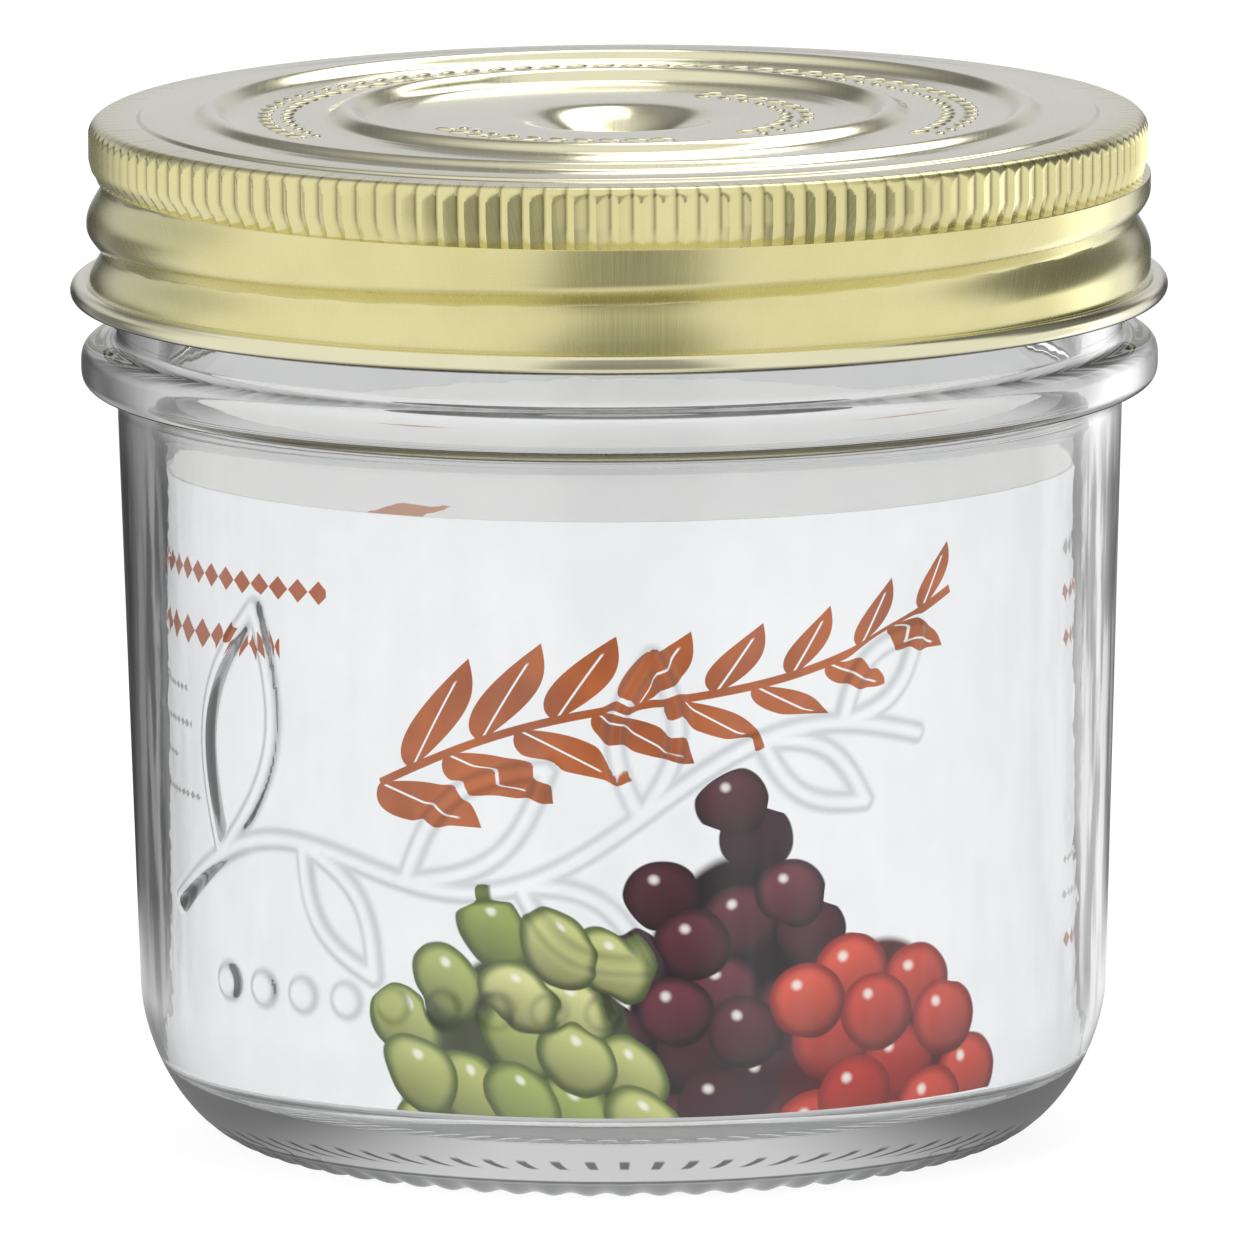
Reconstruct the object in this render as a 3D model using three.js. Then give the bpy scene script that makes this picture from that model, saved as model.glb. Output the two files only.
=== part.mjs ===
// A terrine jar: a straight-sided glass with a bead under its neck, a gold tinplate screw lid with a rolled
// thread, a sealing capsule with its seal ring under the lid, and a card leaflet rolled up inside the glass.
// Millimetres, +Z up. The origin is the middle of the base, on the surface that the jar stands on.
import * as THREE from 'three';

// Driving dimensions of the closure
const CLOSURE_RADIUS = 50; // outer edge of the sealing capsule
const SHEET = 0.4; // tinplate of the lid and the capsule
const SEAT_GAP = 0.1; // between pieces that rest on each other
const SEAL_THICKNESS = 1.2;
const SEAL_MARGIN = 0.3; // seal ring to the capsule's lip, and to the mouth's edge
const CAPSULE_LIP = 0.8; // turned-down edge of the capsule
const WELL_CLEARANCE = 0.6; // capsule's well to the mouth of the glass
const WELL_SLOPE = 1.2; // how far the well's wall leans in
const PANEL_RADIUS = 33; // raised middle of the capsule
const PANEL_RISE = 0.6;
const DIMPLE_CLEARANCE = 0.4; // lid's dimple to the capsule

// Driving dimensions of the screw thread, shared by glass and lid
const LEAD = 6.5; // rise in one turn, right-handed
const THREAD_HEIGHT = 2; // ridge on the neck of the glass
const THREAD_WIDTH = 3.2;
const THREAD_CLEARANCE = 0.45; // ridge to the lid's skirt
const ROLL_DEPTH = 1.5; // groove rolled into the lid's skirt
const ROLL_WIDTH = 4.8;
const ROLL_RUN = { start: -270, end: 230, fade: 70 }; // degrees along the groove
const RIDGE_RUN = { start: -410, end: -30, fade: 35 }; // degrees along the ridge

// Driving dimensions of the lid
const LID_DEPTH = 17.9; // from its flat rim down to the curl
const CORNER_RADIUS = 1.5;
const KNURL_COUNT = 152;
const KNURL_HEIGHT = 4.7;
const KNURL_DEPTH = 0.45;
const KNURL_STEP = 0.25; // knurled band to the skirt below it
const ROLL_DROP = 10.1; // flat rim down to the rolled groove at angle 0
const CURL_RADIUS = 1.05;
const RIM_WIDTH = 3.1; // flat rim round the raised panel
const SHELF_RISE = 0.3;
const SHELF_SLOPE = 0.7;
const OUTER_BEAD = { inner: 38, outer: 42.2, height: 0.9 };
const STACK_LEVEL = 0.05; // flat ring that another jar stands on
const INNER_BEAD = { inner: 24.2, outer: 29.2, height: 1.15 };
const CENTRE_LEVEL = -0.25;
const DIMPLE_RADIUS = 10.6;
const DIMPLE_DEPTH = 3.4;

// Driving dimensions of the glass
const NECK_INSET = 0.5; // edge of the capsule to the neck
const MOUTH_WALL = 3.5; // glass at the mouth
const LIP_ROUND = 0.9;
const LID_TO_BEAD = 3.8;
const BEAD_HEIGHT = 4.9;
const BEAD_OUT = 3.5;
const BEAD_POWER = 3.2; // fullness of the bead's section, 2 is half an ellipse
const BODY_HEIGHT = 74.5; // base to the underside of the bead
const BODY_TAPER = 1.8; // narrowing from the bead to the heel
const BODY_WALL = 2.8; // glass just above the heel
const HEEL_HEIGHT = 15.2;
const HEEL_POWER = 1.73; // fullness of the heel's curve, 2 is a quarter ellipse
const BASE_RADIUS = 37.2; // outer edge of the ring it stands on
const BASE_RING = 3.2; // width of that ring
const PUSH_UP = 2.4; // hollow under the base
const FLOOR_THICKNESS = 4.4;
const FLOOR_CURVE = 5; // height of the curve between floor and wall

// Driving dimensions of the card leaflet
const CARD_HEIGHT = 58.4;
const CARD_THICKNESS = 0.3;
const CARD_GAP = 0.4; // card to the wall of the glass
const CARD_SLIT = 1.5; // between the two ends of the card, at the back

// Facets
const SEGMENTS = 48;
const HEEL_STEPS = 6;
const NECK_BEAD_STEPS = 8;
const NECK_ROWS = 12;
const LIP_STEPS = 2;
const FLOOR_STEPS = 4;
const DIMPLE_STEPS = 4;
const LID_BEAD_STEPS = 5;
const CORNER_STEPS = 3;
const SKIRT_ROWS = 10;
const CURL_STEPS = 8;

const TURN = 2 * Math.PI;
const { clamp, degToRad, lerp, smoothstep } = THREE.MathUtils;

// Sizes that follow from the driving ones
const neckRadius = CLOSURE_RADIUS - NECK_INSET;
const mouthRadius = neckRadius - MOUTH_WALL;
const heelRadius = neckRadius - BODY_TAPER;
const floorRadius = heelRadius - BODY_WALL;
const floorCurveTop = FLOOR_THICKNESS + FLOOR_CURVE;
const beadTop = BODY_HEIGHT + BEAD_HEIGHT;
const lidTop = beadTop + LID_TO_BEAD + LID_DEPTH;
const capsuleTop = lidTop - SHEET - SEAT_GAP;
const sealTop = capsuleTop - SHEET - SEAT_GAP;
const jarTop = sealTop - SEAL_THICKNESS - SEAT_GAP;
const skirtRadius = neckRadius + THREAD_HEIGHT + THREAD_CLEARANCE + SHEET;
const knurlRadius = skirtRadius - KNURL_STEP;
const rimRadius = knurlRadius - CORNER_RADIUS;
const shelfRadius = rimRadius - RIM_WIDTH;
const knurlBottom = CORNER_RADIUS + KNURL_HEIGHT;

// Threads: the level at angle 0, the width, and the angles between which the thread runs and fades
const rolledGroove = {
  level: -ROLL_DROP,
  halfWidth: ROLL_WIDTH / 2,
  start: degToRad(ROLL_RUN.start),
  end: degToRad(ROLL_RUN.end),
  fade: degToRad(ROLL_RUN.fade),
};
const glassRidge = {
  level: lidTop - ROLL_DROP + LEAD / 2,
  halfWidth: THREAD_WIDTH / 2,
  start: degToRad(RIDGE_RUN.start),
  end: degToRad(RIDGE_RUN.end),
  fade: degToRad(RIDGE_RUN.fade),
};

/** Share of a thread's full height at an angle and a height: 1 on its crest, 0 away from it. */
function threadShare(thread, angle, height) {
  let share = 0;
  for (let along = angle - 2 * TURN; along < thread.end; along += TURN) {
    const offset = (height - thread.level - (LEAD * along) / TURN) / thread.halfWidth;
    const crest = Math.cos((clamp(offset, -1, 1) * Math.PI) / 2) ** 2;
    const begins = smoothstep(along, thread.start, thread.start + thread.fade);
    const ends = 1 - smoothstep(along, thread.end - thread.fade, thread.end);
    share = Math.max(share, crest * begins * ends);
  }
  return share;
}

/** A ring of points about +Z, whose radius may change with the angle and the point's number. */
function ring(height, radiusAt, count = SEGMENTS) {
  return Array.from({ length: count }, (_, i) => {
    const angle = (i / count) * TURN;
    const radius = radiusAt(angle, i);
    return new THREE.Vector3(radius * Math.cos(angle), radius * Math.sin(angle), height);
  });
}

const circle = ({ x: radius, y: height }, count = SEGMENTS) => ring(height, () => radius, count);
const pole = (height) => [new THREE.Vector3(0, 0, height)];
const point = (radius, height) => new THREE.Vector2(radius, height);

/** Evenly spaced values from one number to another, both included. */
const spaced = (from, to, steps) => Array.from({ length: steps + 1 }, (_, i) => lerp(from, to, i / steps));

/** Points along part of an ellipse, angles in degrees. */
function arc(centre, radiusX, radiusY, from, to, steps) {
  const turnsBack = to < from;
  const curve = new THREE.EllipseCurve(
    centre.x, centre.y, radiusX, radiusY, degToRad(from), degToRad(to), turnsBack);
  return curve.getPoints(steps);
}

/** Triangles between two neighbouring rings of any number of points; a ring of one point is a pole. */
function zip(triangles, first, firstCount, second, secondCount) {
  const firstSteps = firstCount > 1 ? firstCount : 0;
  const secondSteps = secondCount > 1 ? secondCount : 0;
  let i = 0;
  let j = 0;
  while (i < firstSteps || j < secondSteps) {
    const a = first + (i % firstCount);
    const b = second + (j % secondCount);
    const firstIsNext = (i + 1) * secondSteps <= (j + 1) * firstSteps;
    if (j === secondSteps || (i < firstSteps && firstIsNext)) {
      i += 1;
      triangles.push(a, first + (i % firstCount), b);
    } else {
      j += 1;
      triangles.push(a, second + (j % secondCount), b);
    }
  }
}

/** One closed skin through rings in order, from a pole, out, up and back in to a pole. */
function skin(rings) {
  const triangles = [];
  let start = 0;
  for (let k = 0; k + 1 < rings.length; k += 1) {
    const next = start + rings[k].length;
    zip(triangles, start, rings[k].length, next, rings[k + 1].length);
    start = next;
  }
  const geometry = new THREE.BufferGeometry().setFromPoints(rings.flat());
  geometry.setIndex(triangles);
  geometry.computeVertexNormals();
  return geometry;
}

/** A turned piece: an outline of radius and height, carried round +Z. */
const turned = (outline) => new THREE.LatheGeometry(outline, SEGMENTS).rotateX(Math.PI / 2);

/** Heel of the glass, from the base ring up to the wall. */
function heel() {
  const power = 2 / HEEL_POWER;
  return spaced(0, Math.PI / 2, HEEL_STEPS).map((t) => point(
    BASE_RADIUS + (heelRadius - BASE_RADIUS) * Math.sin(t) ** power,
    HEEL_HEIGHT * (1 - Math.cos(t) ** power),
  ));
}

/** Bead under the neck of the glass, from its underside up to its top. */
function neckBead() {
  const power = 2 / BEAD_POWER;
  const middle = beadTop - BEAD_HEIGHT / 2;
  return spaced(-Math.PI / 2, Math.PI / 2, NECK_BEAD_STEPS).map((t) => point(
    neckRadius + BEAD_OUT * Math.cos(t) ** power,
    middle + (BEAD_HEIGHT / 2) * Math.sign(t) * Math.abs(Math.sin(t)) ** power,
  ));
}

function glassJar() {
  const baseHollow = BASE_RADIUS - BASE_RING;
  const threadFoot = glassRidge.level + (LEAD * glassRidge.start) / TURN - glassRidge.halfWidth;
  const lipFoot = jarTop - LIP_ROUND;
  const outside = [
    point(baseHollow / 2, PUSH_UP),
    point(baseHollow, 0),
    ...heel(),
    ...neckBead(),
  ];
  const neck = spaced(threadFoot, lipFoot - LIP_ROUND, NECK_ROWS).map((height) => (
    ring(height, (angle) => neckRadius + THREAD_HEIGHT * threadShare(glassRidge, angle, height))));
  const inside = [
    ...arc(point(neckRadius - LIP_ROUND, lipFoot), LIP_ROUND, LIP_ROUND, 0, 90, LIP_STEPS),
    ...arc(point(mouthRadius + LIP_ROUND, lipFoot), LIP_ROUND, LIP_ROUND, 90, 180, LIP_STEPS),
    ...arc(point(BASE_RADIUS, floorCurveTop), floorRadius - BASE_RADIUS, FLOOR_CURVE, 0, -90, FLOOR_STEPS),
    point(baseHollow / 2, FLOOR_THICKNESS + PUSH_UP),
  ];
  return skin([
    pole(PUSH_UP),
    ...outside.map((at) => circle(at)),
    ...neck,
    ...inside.map((at) => circle(at)),
    pole(FLOOR_THICKNESS + PUSH_UP),
  ]);
}

function cardInsert() {
  const outer = floorRadius - CARD_GAP;
  const halfSlit = CARD_SLIT / 2 / outer;
  const from = Math.PI / 2 + halfSlit;
  const to = Math.PI / 2 - halfSlit + TURN;
  const outline = new THREE.Shape();
  outline.absarc(0, 0, outer, from, to, false);
  outline.absarc(0, 0, outer - CARD_THICKNESS, to, from, true);
  const rolled = { depth: CARD_HEIGHT, bevelEnabled: false, curveSegments: SEGMENTS };
  return new THREE.ExtrudeGeometry(outline, rolled);
}

function sealingRing() {
  const inner = mouthRadius + SEAL_MARGIN;
  const outer = CLOSURE_RADIUS - SHEET - SEAL_MARGIN;
  return turned([
    point(inner, 0),
    point(outer, 0),
    point(outer, SEAL_THICKNESS),
    point(inner, SEAL_THICKNESS),
    point(inner, 0),
  ]);
}

function capsuleDisc() {
  const dimpleUnderside = lidTop + CENTRE_LEVEL - DIMPLE_DEPTH - SHEET;
  const panelTop = dimpleUnderside - DIMPLE_CLEARANCE - capsuleTop;
  const wellTop = panelTop - PANEL_RISE;
  const wellRadius = mouthRadius - WELL_CLEARANCE;
  const wellFoot = wellRadius - WELL_SLOPE;
  const lipInner = CLOSURE_RADIUS - SHEET;
  return turned([
    point(0, panelTop - SHEET),
    point(PANEL_RADIUS, panelTop - SHEET),
    point(PANEL_RADIUS + PANEL_RISE, wellTop - SHEET),
    point(wellFoot, wellTop - SHEET),
    point(wellRadius, -SHEET),
    point(lipInner, -SHEET),
    point(lipInner, -SHEET - CAPSULE_LIP),
    point(CLOSURE_RADIUS, -SHEET - CAPSULE_LIP),
    point(CLOSURE_RADIUS, 0),
    point(wellRadius - SHEET, 0),
    point(wellFoot - SHEET, wellTop),
    point(PANEL_RADIUS + PANEL_RISE + SHEET, wellTop),
    point(PANEL_RADIUS + SHEET, panelTop),
    point(0, panelTop),
  ]);
}

/** Height of a pressed bead at a radius, on a base that runs from one level to another. */
function beadHeight(bead, radius, innerLevel, outerLevel) {
  const share = (radius - bead.inner) / (bead.outer - bead.inner);
  return lerp(innerLevel, outerLevel, share) + bead.height * Math.sin(Math.PI * share) ** 2;
}

/** Height of the lid's top face at a radius, from its flat rim. */
function panelHeight(radius) {
  if (radius < DIMPLE_RADIUS) {
    return CENTRE_LEVEL - DIMPLE_DEPTH * Math.cos((Math.PI * radius) / DIMPLE_RADIUS / 2) ** 2;
  }
  if (radius < INNER_BEAD.inner) return CENTRE_LEVEL;
  if (radius < INNER_BEAD.outer) return beadHeight(INNER_BEAD, radius, CENTRE_LEVEL, STACK_LEVEL);
  if (radius < OUTER_BEAD.inner) return STACK_LEVEL;
  if (radius < OUTER_BEAD.outer) return beadHeight(OUTER_BEAD, radius, STACK_LEVEL, SHELF_RISE);
  return SHELF_RISE * (1 - smoothstep(radius, shelfRadius - SHELF_SLOPE, shelfRadius));
}

/** The lid's pressed top from its middle to its flat rim, lowered by the sheet for the underside. */
function panelRings(below) {
  const radii = [
    ...spaced(0, DIMPLE_RADIUS, DIMPLE_STEPS).slice(1),
    ...spaced(INNER_BEAD.inner, INNER_BEAD.outer, LID_BEAD_STEPS),
    ...spaced(OUTER_BEAD.inner, OUTER_BEAD.outer, LID_BEAD_STEPS),
    shelfRadius - SHELF_SLOPE,
    shelfRadius,
  ];
  const rings = radii.map((radius) => {
    const count = radius > DIMPLE_RADIUS ? SEGMENTS : SEGMENTS / 2;
    return circle(point(radius, panelHeight(radius) - below), count);
  });
  return [pole(panelHeight(0) - below), ...rings];
}

function screwLid() {
  const knurlInner = knurlRadius - KNURL_DEPTH - SHEET;
  const curlCentre = point(skirtRadius - SHEET + CURL_RADIUS, CURL_RADIUS - LID_DEPTH);
  const curlMeetsSkirt = THREE.MathUtils.radToDeg(Math.acos((SHEET - CURL_RADIUS) / CURL_RADIUS));
  const skirtFoot = curlCentre.y + CURL_RADIUS;
  const skirtRows = spaced(-knurlBottom - SHEET, skirtFoot + SHEET, SKIRT_ROWS);
  const skirtRing = (height, below) => ring(height, (angle) => (
    skirtRadius - below - ROLL_DEPTH * threadShare(rolledGroove, angle, height)));
  const knurlRing = (height) => ring(height, (angle, i) => (
    knurlRadius - (i % 2) * KNURL_DEPTH), 2 * KNURL_COUNT);
  const inside = [
    circle(point(rimRadius, -SHEET)),
    circle(point(knurlInner, -CORNER_RADIUS)),
    circle(point(knurlInner, -knurlBottom)),
    ...skirtRows.map((height) => skirtRing(height, SHEET)),
  ];
  const curl = arc(curlCentre, CURL_RADIUS, CURL_RADIUS, -180, curlMeetsSkirt, CURL_STEPS);
  const corner = arc(point(rimRadius, -CORNER_RADIUS), CORNER_RADIUS, CORNER_RADIUS, 0, 90, CORNER_STEPS);
  const outside = [
    ...skirtRows.toReversed().map((height) => skirtRing(height, 0)),
    knurlRing(-knurlBottom),
    knurlRing(-CORNER_RADIUS),
    ...corner.slice(1).map((at) => circle(at)),
  ];
  return skin([
    ...panelRings(SHEET),
    ...inside,
    ...curl.map((at) => circle(at)),
    ...outside,
    ...panelRings(0).toReversed(),
  ]);
}

function piece(name, geometry, height, finish) {
  const mesh = new THREE.Mesh(geometry, new THREE.MeshStandardMaterial(finish));
  mesh.name = name;
  mesh.position.z = height;
  return mesh;
}

const clearGlass = { color: 0xdfe6e4, roughness: 0.05, metalness: 0, transparent: true, opacity: 0.35 };
const whiteCard = { color: 0xf3f3f4, roughness: 0.7, metalness: 0 };
const goldLacquer = { color: 0xd5c98a, roughness: 0.3, metalness: 0.95 };
const paleLacquer = { color: 0xcfc48d, roughness: 0.35, metalness: 0.9 };
const sealCompound = { color: 0xe4dcc4, roughness: 0.75, metalness: 0 };

const terrineJar = new THREE.Group();
terrineJar.name = 'terrine_jar';
terrineJar.add(
  piece('glass_jar', glassJar(), 0, clearGlass),
  piece('card_insert', cardInsert(), floorCurveTop, whiteCard),
  piece('sealing_ring', sealingRing(), sealTop - SEAL_THICKNESS, sealCompound),
  piece('capsule_disc', capsuleDisc(), capsuleTop, paleLacquer),
  piece('screw_lid', screwLid(), lidTop, goldLacquer),
);

export default terrineJar;
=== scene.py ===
# %% [markdown]
# # A terrine jar
# A terrine jar is a straight-sided preserving glass. A gold screw lid presses a loose capsule onto its rim,
# and a printed card stands rolled up inside until the jar is filled. The CAD model already gives every size
# and every joint, so it comes in first, as a frame that nothing here moves. Each piece below is a finer skin
# over one of its solids.

# %% Load the CAD frame
import math
from dataclasses import dataclass

import bmesh
import bpy
from mathutils import Matrix, Vector


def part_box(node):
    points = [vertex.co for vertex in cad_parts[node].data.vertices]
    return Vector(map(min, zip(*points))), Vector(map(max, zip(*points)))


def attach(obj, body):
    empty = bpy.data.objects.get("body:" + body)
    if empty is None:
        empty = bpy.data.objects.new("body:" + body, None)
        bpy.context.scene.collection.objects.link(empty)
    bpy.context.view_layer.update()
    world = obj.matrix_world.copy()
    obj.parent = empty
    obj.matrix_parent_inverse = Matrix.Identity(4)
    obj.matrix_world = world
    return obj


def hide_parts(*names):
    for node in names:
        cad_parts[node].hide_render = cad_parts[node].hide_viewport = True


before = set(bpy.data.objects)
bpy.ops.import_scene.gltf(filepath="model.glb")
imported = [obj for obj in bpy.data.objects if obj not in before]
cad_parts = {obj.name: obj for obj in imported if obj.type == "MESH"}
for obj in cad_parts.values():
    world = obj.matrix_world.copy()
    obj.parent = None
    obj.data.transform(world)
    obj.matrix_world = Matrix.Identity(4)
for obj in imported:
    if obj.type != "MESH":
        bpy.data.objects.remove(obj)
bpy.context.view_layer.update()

print("CAD nodes:", sorted(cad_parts))

# %% [markdown]
# Blender works in metres, and a jar is easier to think of in millimetres, so sizes are written in
# millimetres times MM. Angles run anticlockwise from +X, seen from above, and the camera stands on the -Y
# side.

# %% Units and the sizes that the frame gives
MM = 0.001
TURN = 2 * math.pi
FRONT = 0.75 * TURN
SHEET = 0.4 * MM
SEAT_GAP = 0.1 * MM
CAPSULE_OVERHANG = 0.5 * MM

capsule_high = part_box("capsule_disc")[1]
seal_low, seal_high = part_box("sealing_ring")
card_low, card_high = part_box("card_insert")
jar_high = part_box("glass_jar")[1]

closure_radius = capsule_high.x
neck_radius = closure_radius - CAPSULE_OVERHANG
rim_height = capsule_high.z + SEAT_GAP + SHEET
print(f"rim of the lid at {rim_height / MM:.1f} mm, mouth of the glass at {jar_high.z / MM:.1f} mm")


# %% [markdown]
# Every piece but the card is round. A Screw modifier could turn an outline, but it gives each height the
# same number of points, and this jar needs over a thousand round its knurled band and few inside. So the
# blanks are made of rings that choose their own points, and neighbouring rings are zipped together by
# angle. A ring also carries marks, which say how far the later steps may work on it.

# %% Rings and turned blanks
@dataclass
class Ring:
    """One ring of a turned piece, with how far ribs, thread and undercut work on it, and how much painted
    sheen and polish it gets.
    """

    radius: float
    height: float
    angles: list
    rib: float = 0.0
    thread: float = 0.0
    undercut: float = 0.0
    pale: float = 0.0


RING_MARKS = ("rib", "thread", "undercut", "pale")


def evenly(count):
    """Angles of evenly spaced points all round."""
    return [i * TURN / count for i in range(count)]


def spaced(start, end, steps):
    """Evenly spaced values from start to end, both included."""
    return [start + (end - start) * i / steps for i in range(steps + 1)]


def smooth(value, start, end):
    """A soft step from 0 to 1 while value goes from start to end."""
    share = min(max((value - start) / (end - start), 0.0), 1.0)
    return share * share * (3 - 2 * share)


def arc(centre, radius_x, radius_y, start, end, steps):
    """Points along part of an ellipse, angles in degrees."""
    bends = [math.radians(angle) for angle in spaced(start, end, steps)]
    return [(centre[0] + radius_x * math.cos(b), centre[1] + radius_y * math.sin(b)) for b in bends]


def zip_rings(mesh, first, second):
    """Faces between two rings, each a list of (angle, vertex) that ends where it began, one turn on."""
    i = j = 0
    while i + 1 < len(first) or j + 1 < len(second):
        on_first = first[i + 1][0] if i + 1 < len(first) else math.inf
        on_second = second[j + 1][0] if j + 1 < len(second) else math.inf
        corners = [first[i][1], second[j][1]]
        if abs(on_first - on_second) < 1e-9:
            corners[1:1] = [first[i + 1][1], second[j + 1][1]]
            i, j = i + 1, j + 1
        elif on_first < on_second:
            corners[1:1] = [first[i + 1][1]]
            i += 1
        else:
            corners[1:1] = [second[j + 1][1]]
            j += 1
        mesh.faces.new(corners)


def turned_blank(name, rings):
    """A closed mesh through rings about +Z. Its UV map lays the sheet out flat, in metres."""
    mesh = bmesh.new()
    marks = {mark: mesh.verts.layers.float.new(mark) for mark in RING_MARKS}
    along = mesh.verts.layers.float.new("along")
    distance = 0.0
    made = []
    for index, ring in enumerate(rings):
        if index:
            before = rings[index - 1]
            distance += math.hypot(ring.radius - before.radius, ring.height - before.height)
        verts = []
        for angle in ring.angles if ring.radius else [0.0]:
            place = (ring.radius * math.cos(angle), ring.radius * math.sin(angle), ring.height)
            vert = mesh.verts.new(place)
            vert[along] = distance
            for mark, layer in marks.items():
                vert[layer] = getattr(ring, mark)
            verts.append((angle, vert))
        if len(verts) > 1:
            verts.append((TURN, verts[0][1]))
        if made:
            zip_rings(mesh, made, verts)
        made = verts
    bmesh.ops.recalc_face_normals(mesh, faces=mesh.faces)
    sheet = mesh.loops.layers.uv.new("sheet")
    for face in mesh.faces:
        face.smooth = True
        for loop in face.loops:
            flat = loop.vert.co.xy
            reach = distance - loop.vert[along]
            loop[sheet].uv = flat.normalized() * reach if flat.length else (0, 0)
    return as_object(name, mesh)


def as_object(name, mesh):
    """Turns a bmesh into an object of the scene."""
    data = bpy.data.meshes.new(name)
    mesh.to_mesh(data)
    mesh.free()
    piece = bpy.data.objects.new(name, data)
    bpy.context.scene.collection.objects.link(piece)
    return piece


# %% [markdown]
# Node trees, for geometry and for finishes, are built in the script. Two small helpers make a tree read
# like a sum: a term stands for a socket, and adding or multiplying terms adds the nodes that do it. A tree
# that shapes a piece gets one named input for each of the piece's values.

# %% Helpers for node trees
class Term:
    """A socket in a sum. Plus, minus, times and divided by add the nodes that work it out."""

    def __init__(self, wire, socket):
        self.wire, self.socket = wire, socket

    def __add__(self, other):
        return self.wire.combine("ADD", self, other)

    def __sub__(self, other):
        return self.wire.combine("SUBTRACT", self, other)

    def __rsub__(self, other):
        return self.wire.combine("SUBTRACT", other, self)

    def __mul__(self, other):
        return self.wire.combine("MULTIPLY", self, other)

    def __truediv__(self, other):
        return self.wire.combine("DIVIDE", self, other)

    def __rtruediv__(self, other):
        return self.wire.combine("DIVIDE", other, self)


def is_vector(value):
    """Whether a value has parts, as a place or a colour has."""
    if isinstance(value, Term):
        return value.socket.type in ("VECTOR", "RGBA")
    return isinstance(value, tuple)


class Wiring:
    """Adds nodes to one tree. A term is linked, and anything else is set as the input's own value."""

    def __init__(self, tree):
        self.tree = tree

    def feed(self, socket, value):
        if isinstance(value, Term):
            self.tree.links.new(value.socket, socket)
        else:
            socket.default_value = value

    def add(self, kind, inputs=None, **settings):
        """A node, with inputs fed by name or number."""
        node = self.tree.nodes.new(kind)
        for name, value in settings.items():
            setattr(node, name, value)
        for name, value in (inputs or {}).items():
            self.feed(node.inputs[name], value)
        return node

    def get(self, kind, inputs=None, output=0, **settings):
        """One output of a new node, as a term."""
        return Term(self, self.add(kind, inputs, **settings).outputs[output])

    def math(self, operation, *values):
        return self.get("ShaderNodeMath", dict(enumerate(values)), operation=operation)

    def vector(self, operation, *values, output=0):
        return self.get("ShaderNodeVectorMath", dict(enumerate(values)), output, operation=operation)

    def combine(self, operation, first, second):
        worked = self.vector if is_vector(first) or is_vector(second) else self.math
        return worked(operation, first, second)

    def length(self, vector):
        return self.vector("LENGTH", vector, output=1)

    def scaled(self, vector, scale):
        return self.get("ShaderNodeVectorMath", {0: vector, "Scale": scale}, operation="SCALE")

    def spun(self, vector, angle, invert=False):
        """A vector turned about Z."""
        inputs = {"Vector": vector, "Angle": angle}
        return self.get("ShaderNodeVectorRotate", inputs, rotation_type="Z_AXIS", invert=invert)

    def ramp(self, value, start, end, low=0.0, high=1.0):
        """A soft step from low to high while value goes from start to end."""
        ends = {"Value": value, "From Min": start, "From Max": end, "To Min": low, "To Max": high}
        return self.get("ShaderNodeMapRange", ends, interpolation_type="SMOOTHSTEP")

    def blend(self, share, first, second):
        """A number between two numbers."""
        return self.get("ShaderNodeMix", {0: share, 2: first, 3: second}, data_type="FLOAT")

    def mix(self, share, first, second):
        """A colour between two colours."""
        return self.get("ShaderNodeMix", {0: share, 6: first, 7: second}, 2, data_type="RGBA")

    def split(self, vector):
        """The X, Y and Z of a vector."""
        return [Term(self, part) for part in self.add("ShaderNodeSeparateXYZ", {0: vector}).outputs]

    def join(self, x=0.0, y=0.0, z=0.0):
        return self.get("ShaderNodeCombineXYZ", {"X": x, "Y": y, "Z": z})


def sockets(kind, *labels):
    """Named sockets of one kind, for a group's inputs or outputs."""
    return {label: kind for label in labels}


def node_group(kind, name, inputs, outputs):
    """An empty node group: its wiring, its inputs as terms, and the sockets of its outputs."""
    tree = bpy.data.node_groups.new(name, kind)
    for direction, labels in (("INPUT", inputs), ("OUTPUT", outputs)):
        for label, socket_kind in labels.items():
            tree.interface.new_socket(label, in_out=direction, socket_type="NodeSocket" + socket_kind)
    wire = Wiring(tree)
    source = {socket.name: Term(wire, socket) for socket in wire.add("NodeGroupInput").outputs}
    return wire, source, wire.add("NodeGroupOutput").inputs


SOCKET_KINDS = {
    float: "Float",
    int: "Int",
    tuple: "Vector",
    bpy.types.Object: "Object",
    bpy.types.Material: "Material",
}


def shaping_tree(name, values):
    """A geometry tree with a named input for each of a piece's values."""
    kinds = {label: SOCKET_KINDS[type(value)] for label, value in values.items()}
    geometry = sockets("Geometry", "Geometry")
    return node_group("GeometryNodeTree", name, {**geometry, **kinds}, geometry)


def run_tree(piece, tree, values):
    """Runs a geometry tree on a piece with named values, and keeps what it makes as a plain mesh."""
    modifier = piece.modifiers.new(tree.name, "NODES")
    modifier.node_group = tree
    for socket in tree.interface.items_tree:
        if socket.in_out == "INPUT" and socket.name in values:
            modifier[socket.identifier] = values[socket.name]
    made = bpy.data.meshes.new_from_object(piece.evaluated_get(bpy.context.evaluated_depsgraph_get()))
    piece.modifiers.remove(modifier)
    blank, piece.data = piece.data, made
    bpy.data.meshes.remove(blank)
    print(f"{piece.name}: {len(made.vertices)} points, {len(made.polygons)} faces")


# %% [markdown]
# ## The screw thread
# The lid has a groove rolled into its skirt, and the glass has a ridge pressed on its neck, half a turn's
# rise away. Both are the same rule: a crest that climbs with the angle and fades at both ends. A group
# holds that rule once, and the lid's tree and the glass's tree both place it.

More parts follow.
